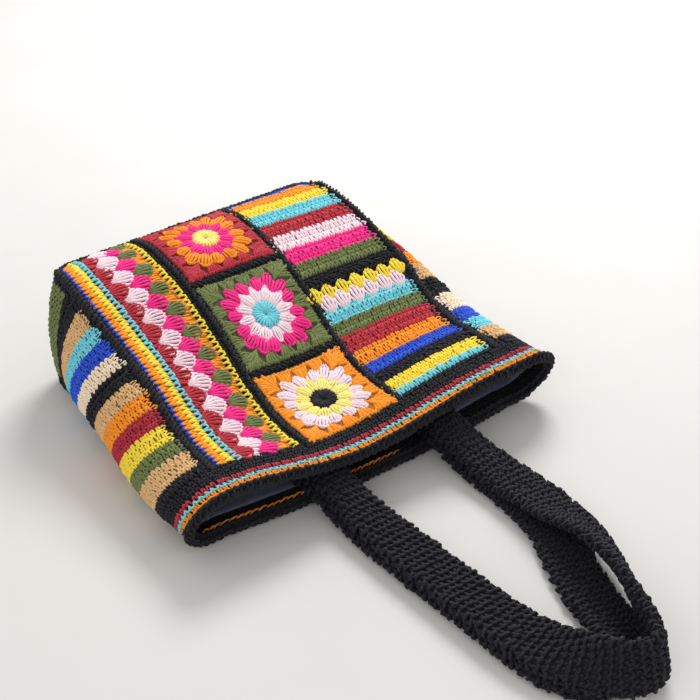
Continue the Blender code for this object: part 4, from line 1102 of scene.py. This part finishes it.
# %% Strap routes: x, y, height of the middle and how far the inner edge is raised
FRONT_STRAP = [
    (-0.077, -0.318, 0.0355, 0), (-0.077, -0.352, 0.0315, 0), (-0.078, -0.400, 0.0210, 0),
    (-0.079, -0.450, 0.0164, 0), (-0.080, -0.520, 0.0160, 0), (-0.081, -0.590, 0.0182, 5),
    (-0.080, -0.640, 0.0230, 24), (-0.073, -0.680, 0.0310, 52), (-0.055, -0.708, 0.0350, 72),
    (-0.030, -0.712, 0.0355, 78), (-0.010, -0.690, 0.0350, 76), (0.008, -0.655, 0.0335, 70),
    (0.031, -0.610, 0.0310, 58), (0.048, -0.560, 0.0290, 34), (0.058, -0.510, 0.0210, 10),
    (0.063, -0.450, 0.0164, 0), (0.063, -0.400, 0.0210, 0), (0.062, -0.352, 0.0340, 0),
    (0.062, -0.318, 0.0410, 0),
]
BACK_STRAP = [
    (-0.079, -0.306, 0.0168, 0), (-0.079, -0.338, 0.0189, 0), (-0.079, -0.372, 0.0110, 0),
    (-0.079, -0.410, 0.0058, 0), (-0.080, -0.500, 0.0055, 0), (-0.081, -0.590, 0.0055, 0),
    (-0.081, -0.636, 0.0055, 0), (-0.073, -0.664, 0.0065, 6), (-0.048, -0.680, 0.0090, 14),
    (-0.020, -0.668, 0.0090, 14), (-0.003, -0.640, 0.0070, 6), (0.007, -0.605, 0.0055, 0),
    (0.026, -0.560, 0.0055, 0), (0.050, -0.510, 0.0055, 0), (0.062, -0.450, 0.0055, 0),
    (0.063, -0.410, 0.0058, 0), (0.063, -0.372, 0.0110, 0), (0.063, -0.338, 0.0189, 0),
    (0.063, -0.306, 0.0168, 0),
]
STRAP_HALF, STRAP_DEEP = 0.0217, 0.0019  # half width and half thickness below the knots
GATHERED = 0.74          # width that is left where a strap is sewn into the mouth
FLAT = 2 * (STRAP_HALF - STRAP_DEEP)
BEND = math.pi * STRAP_DEEP
GIRTH = 2 * (FLAT + BEND)


def smooth_path(stops, per_span=10):
    """A Catmull-Rom curve through the stops, with the raise of the edge carried along."""
    p = np.array(stops)
    p = np.concatenate([p[:1], p, p[-1:]])
    out = []
    t = np.arange(per_span)[:, None] / per_span
    for n in range(1, len(p) - 2):
        a, b = 2 * p[n], p[n + 1] - p[n - 1]
        c = 2 * p[n - 1] - 5 * p[n] + 4 * p[n + 1] - p[n + 2]
        d = 3 * p[n] - p[n - 1] - 3 * p[n + 1] + p[n + 2]
        out.append((a + b * t + c * t ** 2 + d * t ** 3) / 2)
    return np.concatenate(out + [p[-1:]])


# %% The section of a strap
def section(a):
    """Across and over the middle at distance a round the strap: face, bend, back, bend."""
    q = a % GIRTH
    parts = [q < FLAT, q < FLAT + BEND, q < 2 * FLAT + BEND]
    turn = [(q - FLAT) / STRAP_DEEP, (q - 2 * FLAT - BEND) / STRAP_DEEP]
    x = np.select(parts, [q - FLAT / 2, FLAT / 2 + STRAP_DEEP * np.sin(turn[0]),
                          FLAT / 2 - (q - FLAT - BEND)], -FLAT / 2 - STRAP_DEEP * np.sin(turn[1]))
    y = np.select(parts, [STRAP_DEEP + 0 * q, STRAP_DEEP * np.cos(turn[0]), -STRAP_DEEP + 0 * q],
                  -STRAP_DEEP * np.cos(turn[1]))
    return x, y


# %% A strap as a surface
def strap_cloth(stops, curl):
    """curl: how far the edges turn down where the strap leaves the mouth, in metres."""
    path = smooth_path(stops)
    middle, bank = path[:, :3], np.radians(path[:, 3])[:, None]
    ahead = np.gradient(middle, axis=0)
    ahead /= np.linalg.norm(ahead, axis=1, keepdims=True)
    inward = np.stack([-ahead[:, 1], ahead[:, 0], 0 * ahead[:, 0]], -1)
    inward /= np.linalg.norm(inward, axis=1, keepdims=True)
    up = -np.cross(inward, ahead)
    up *= np.sign(up[:, 2:3])
    across = inward * np.cos(bank) + up * np.sin(bank)
    face = up * np.cos(bank) - inward * np.sin(bank)
    run = np.concatenate([[0], np.cumsum(np.linalg.norm(np.diff(middle, axis=0), axis=1))])

    def place(a, b):
        x, y = section(a)
        free = smooth(0.02, 0.15, np.minimum(b, run[-1] - b))
        x = x * (GATHERED + (1 - GATHERED) * free)
        y = y * (1.5 - 0.5 * free) - curl * (1 - free) * (x / STRAP_HALF) ** 2
        point = sum(np.stack([np.interp(b, run, v[:, k]) for k in range(3)], -1) * w[..., None]
                    for v, w in ((middle, 1 + 0 * x), (across, x), (face, y)))
        return point + MOVE

    cloth = Cloth(place, (-0.004, GIRTH + 0.004), (0.0, run[-1]), step=0.0015)
    k = round((0.004 + FLAT / 2) / cloth.steps[0])
    count = cloth.p.shape[1]
    under = place(np.full(count, FLAT * 1.5 + BEND), np.linspace(0, run[-1], count))
    if np.mean(np.sum(cloth.n[k] * (cloth.p[k] - under), -1)) < 0:
        cloth = cloth.flipped()
    return cloth, run[-1]


# %% Straps
RIDGE = 0.0078           # rows go across the strap, each a ridge of knots with legs below
KNOT_PITCH = 0.0062
RIDGE_KNOT = [(-0.56, 0.46, -0.3), (-0.30, 0.72, 1.9), (0.05, 0.88, 2.9), (0.36, 0.76, 1.8),
              (0.56, 0.56, -0.3)]
RIDGE_LEG = [(-0.10, -0.25, 0.0), (-0.16, 0.22, 1.0), (0.10, 0.62, 0.9)]
for label, stops, curl in (("front", FRONT_STRAP, 0.008), ("back", BACK_STRAP, 0.002)):
    cloth, length = strap_cloth(stops, curl)
    print(f"{label} strap: {length / MM:.0f} mm along, {GIRTH / MM:.0f} mm round")
    piece = Piece(f"{label}_strap_crochet")
    a, b = np.meshgrid(marks(0, GIRTH, 0.007)[:-1], marks(0, length, 0.008), indexing="ij")
    verts = cloth.at(a, b, np.full(a.shape, 0.0003))[0]
    piece.faces(piece.points(verts) + grid_quads(*a.shape, closed=True), "black")
    around = np.arange(len(a))
    for end, order in ((0, around[::-1]), (-1, around)):
        piece.faces(piece.points(verts[:, end]) + order[None], "black")
    rows = round(length / RIDGE)
    height = length / rows
    for k in range(rows):
        where = row((0.0, k * height), (GIRTH, k * height), (0, height), KNOT_PITCH)
        where[0][:, 0] = (where[0][:, 0] + KNOT_PITCH / 2 * (k % 2)) % GIRTH
        lay(piece, cloth, [RIDGE_KNOT, RIDGE_LEG], *where, "black", 1.95, 4, wander=0.13)
    piece.build("strap_crochet", f"{label}_strap")

# %% [markdown]
# ## Lining
# A pouch of plain woven cotton hangs inside, sewn below the rolled edge. It is a thin
# doubled layer with soft vertical folds, closed at the bottom.

# %% The lining's cloth
lining_mat, tree = new_material("woven_cotton_lining")
spot = add(tree, "TexCoord")
# Threads of 0.4 mm are too fine to show, so they are drawn 0.8 mm apart.
warp, weft = (add(tree, "TexWave", {"bands_direction": way, "Scale": 400.0, "Distortion": 0.4},
                  {"Vector": (spot, "Object")}) for way in "XZ")
cross = add(tree, "Math", {"operation": "MAXIMUM"}, {0: (warp, 1), 1: (weft, 1)})
tone = add(tree, "Mix", {"data_type": "RGBA", 6: linear("#343a50"), 7: linear("#666d86")},
           {0: (cross, 0)})
bump = add(tree, "Bump", {"Strength": 0.3, "Distance": 0.0002}, {"Height": (cross, 0)})
shader = add(tree, "BsdfPrincipled", {"Roughness": 0.55, "IOR": 1.53, "Sheen Weight": 0.4},
             {"Base Color": (tone, 2), "Normal": (bump, 0)})
add(tree, "OutputMaterial", {}, {"Surface": (shader, 0)})

# %% The lining pouch
LINING_DEPTH, LINING_THICK = 0.0044, 0.0009
piece = Piece("lining_pouch")
s, v = np.meshgrid(marks(0, RING, 0.006)[:-1], marks(CORNER_ROUND + 0.004, 0.3495, 0.008),
                   indexing="ij")
folds = 0.0009 * np.sin(s * 300 + 3 * np.sin(v * 20)) + 0.0007 * np.sin(s * 117 + 9 * v)
fold = folds * smooth(0.350, 0.31, v)    # sewn flat at the top, folded further in
layers = [tube_cloth.at(s, v, -LINING_DEPTH - depth + fold)[0] for depth in (0.0, LINING_THICK)]
piece.points(np.array(layers))
ns, nv = s.shape
k = np.arange(ns)
after = (k + 1) % ns
quads = grid_quads(ns, nv, closed=True)
top = np.stack([k * nv + nv - 1, after * nv + nv - 1], -1)
hem = np.concatenate([top, top[:, ::-1] + ns * nv], -1)
piece.faces(np.concatenate([quads[:, ::-1], quads + ns * nv, hem[:, ::-1]]), "lining")
bottom = piece.points(np.array([layer[:, 0].mean(0) for layer in layers]))
fan = np.stack([k * nv, after * nv, np.full(ns, bottom)], -1)
piece.faces(np.concatenate([fan, fan[:, ::-1] + np.array([1, ns * nv, ns * nv])]), "lining")
piece.build("lining_cloth", "lining", materials={"lining": lining_mat})

# %% [markdown]
# ## Floor, light and camera
# A plain pale floor and soft studio light, bright enough that a colour renders about as
# it is written. The camera stands where the photograph was taken from.

# %% Floor
floor_mat = bpy.data.materials.new("pale_painted_floor")
floor_mat.use_nodes = True
tree = floor_mat.node_tree
shader = tree.nodes["Principled BSDF"]
spot = add(tree, "TexCoord")
grain = add(tree, "TexNoise", {"Scale": 9.0, "Detail": 4.0}, {"Vector": (spot, "Object")})
tone = add(tree, "Mix", {"data_type": "RGBA", 6: linear("#d6d4d1"), 7: linear("#dcdad7")},
           {0: (grain, 0)})
tree.links.new(tone.outputs[2], shader.inputs["Base Color"])
shader.inputs["Roughness"].default_value = 0.8
bpy.ops.mesh.primitive_plane_add(size=12, location=(0, 2, -0.0004))
floor = bpy.context.object
floor.name = "floor"
floor.data.materials.append(floor_mat)

# %% Light
world = bpy.data.worlds.new("soft_room")
world.use_nodes = True
bpy.context.scene.world = world
sky = world.node_tree.nodes["Background"].inputs
sky["Color"].default_value = (1.0, 0.995, 0.985, 1)
sky["Strength"].default_value = 0.68


def softbox(name, place, target, size, watts):
    lamp = bpy.data.lights.new(name, "AREA")
    lamp.shape, lamp.size, lamp.energy = "DISK", size, watts
    obj = bpy.data.objects.new(name, lamp)
    obj.location = place
    obj.rotation_euler = (Vector(target) - Vector(place)).to_track_quat("-Z", "Y").to_euler()
    bpy.context.scene.collection.objects.link(obj)


softbox("window", (1.3, 1.1, 1.6), (0, 0.05, 0.05), 1.0, 38)
softbox("fill", (-1.8, -1.0, 1.4), (0, 0.05, 0.05), 1.4, 10)

# %% Camera, fitted to the photograph
HEADING, PITCH = math.radians(38.34), math.radians(31.08)    # to the right of +Y, and down
camera = bpy.data.objects.new("camera", bpy.data.cameras.new("camera"))
camera.data.lens = 88.05
camera.data.sensor_width = 36
camera.location = Vector((-0.860, -1.368, 0.939)) + Vector(MOVE)
look = Vector((math.sin(HEADING) * math.cos(PITCH), math.cos(HEADING) * math.cos(PITCH),
               -math.sin(PITCH)))
camera.rotation_euler = look.to_track_quat("-Z", "Y").to_euler()
bpy.context.scene.collection.objects.link(camera)
bpy.context.scene.camera = camera
bpy.context.scene.view_settings.view_transform = "Standard"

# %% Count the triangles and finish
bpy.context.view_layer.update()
print("triangles in all:", Piece.total)
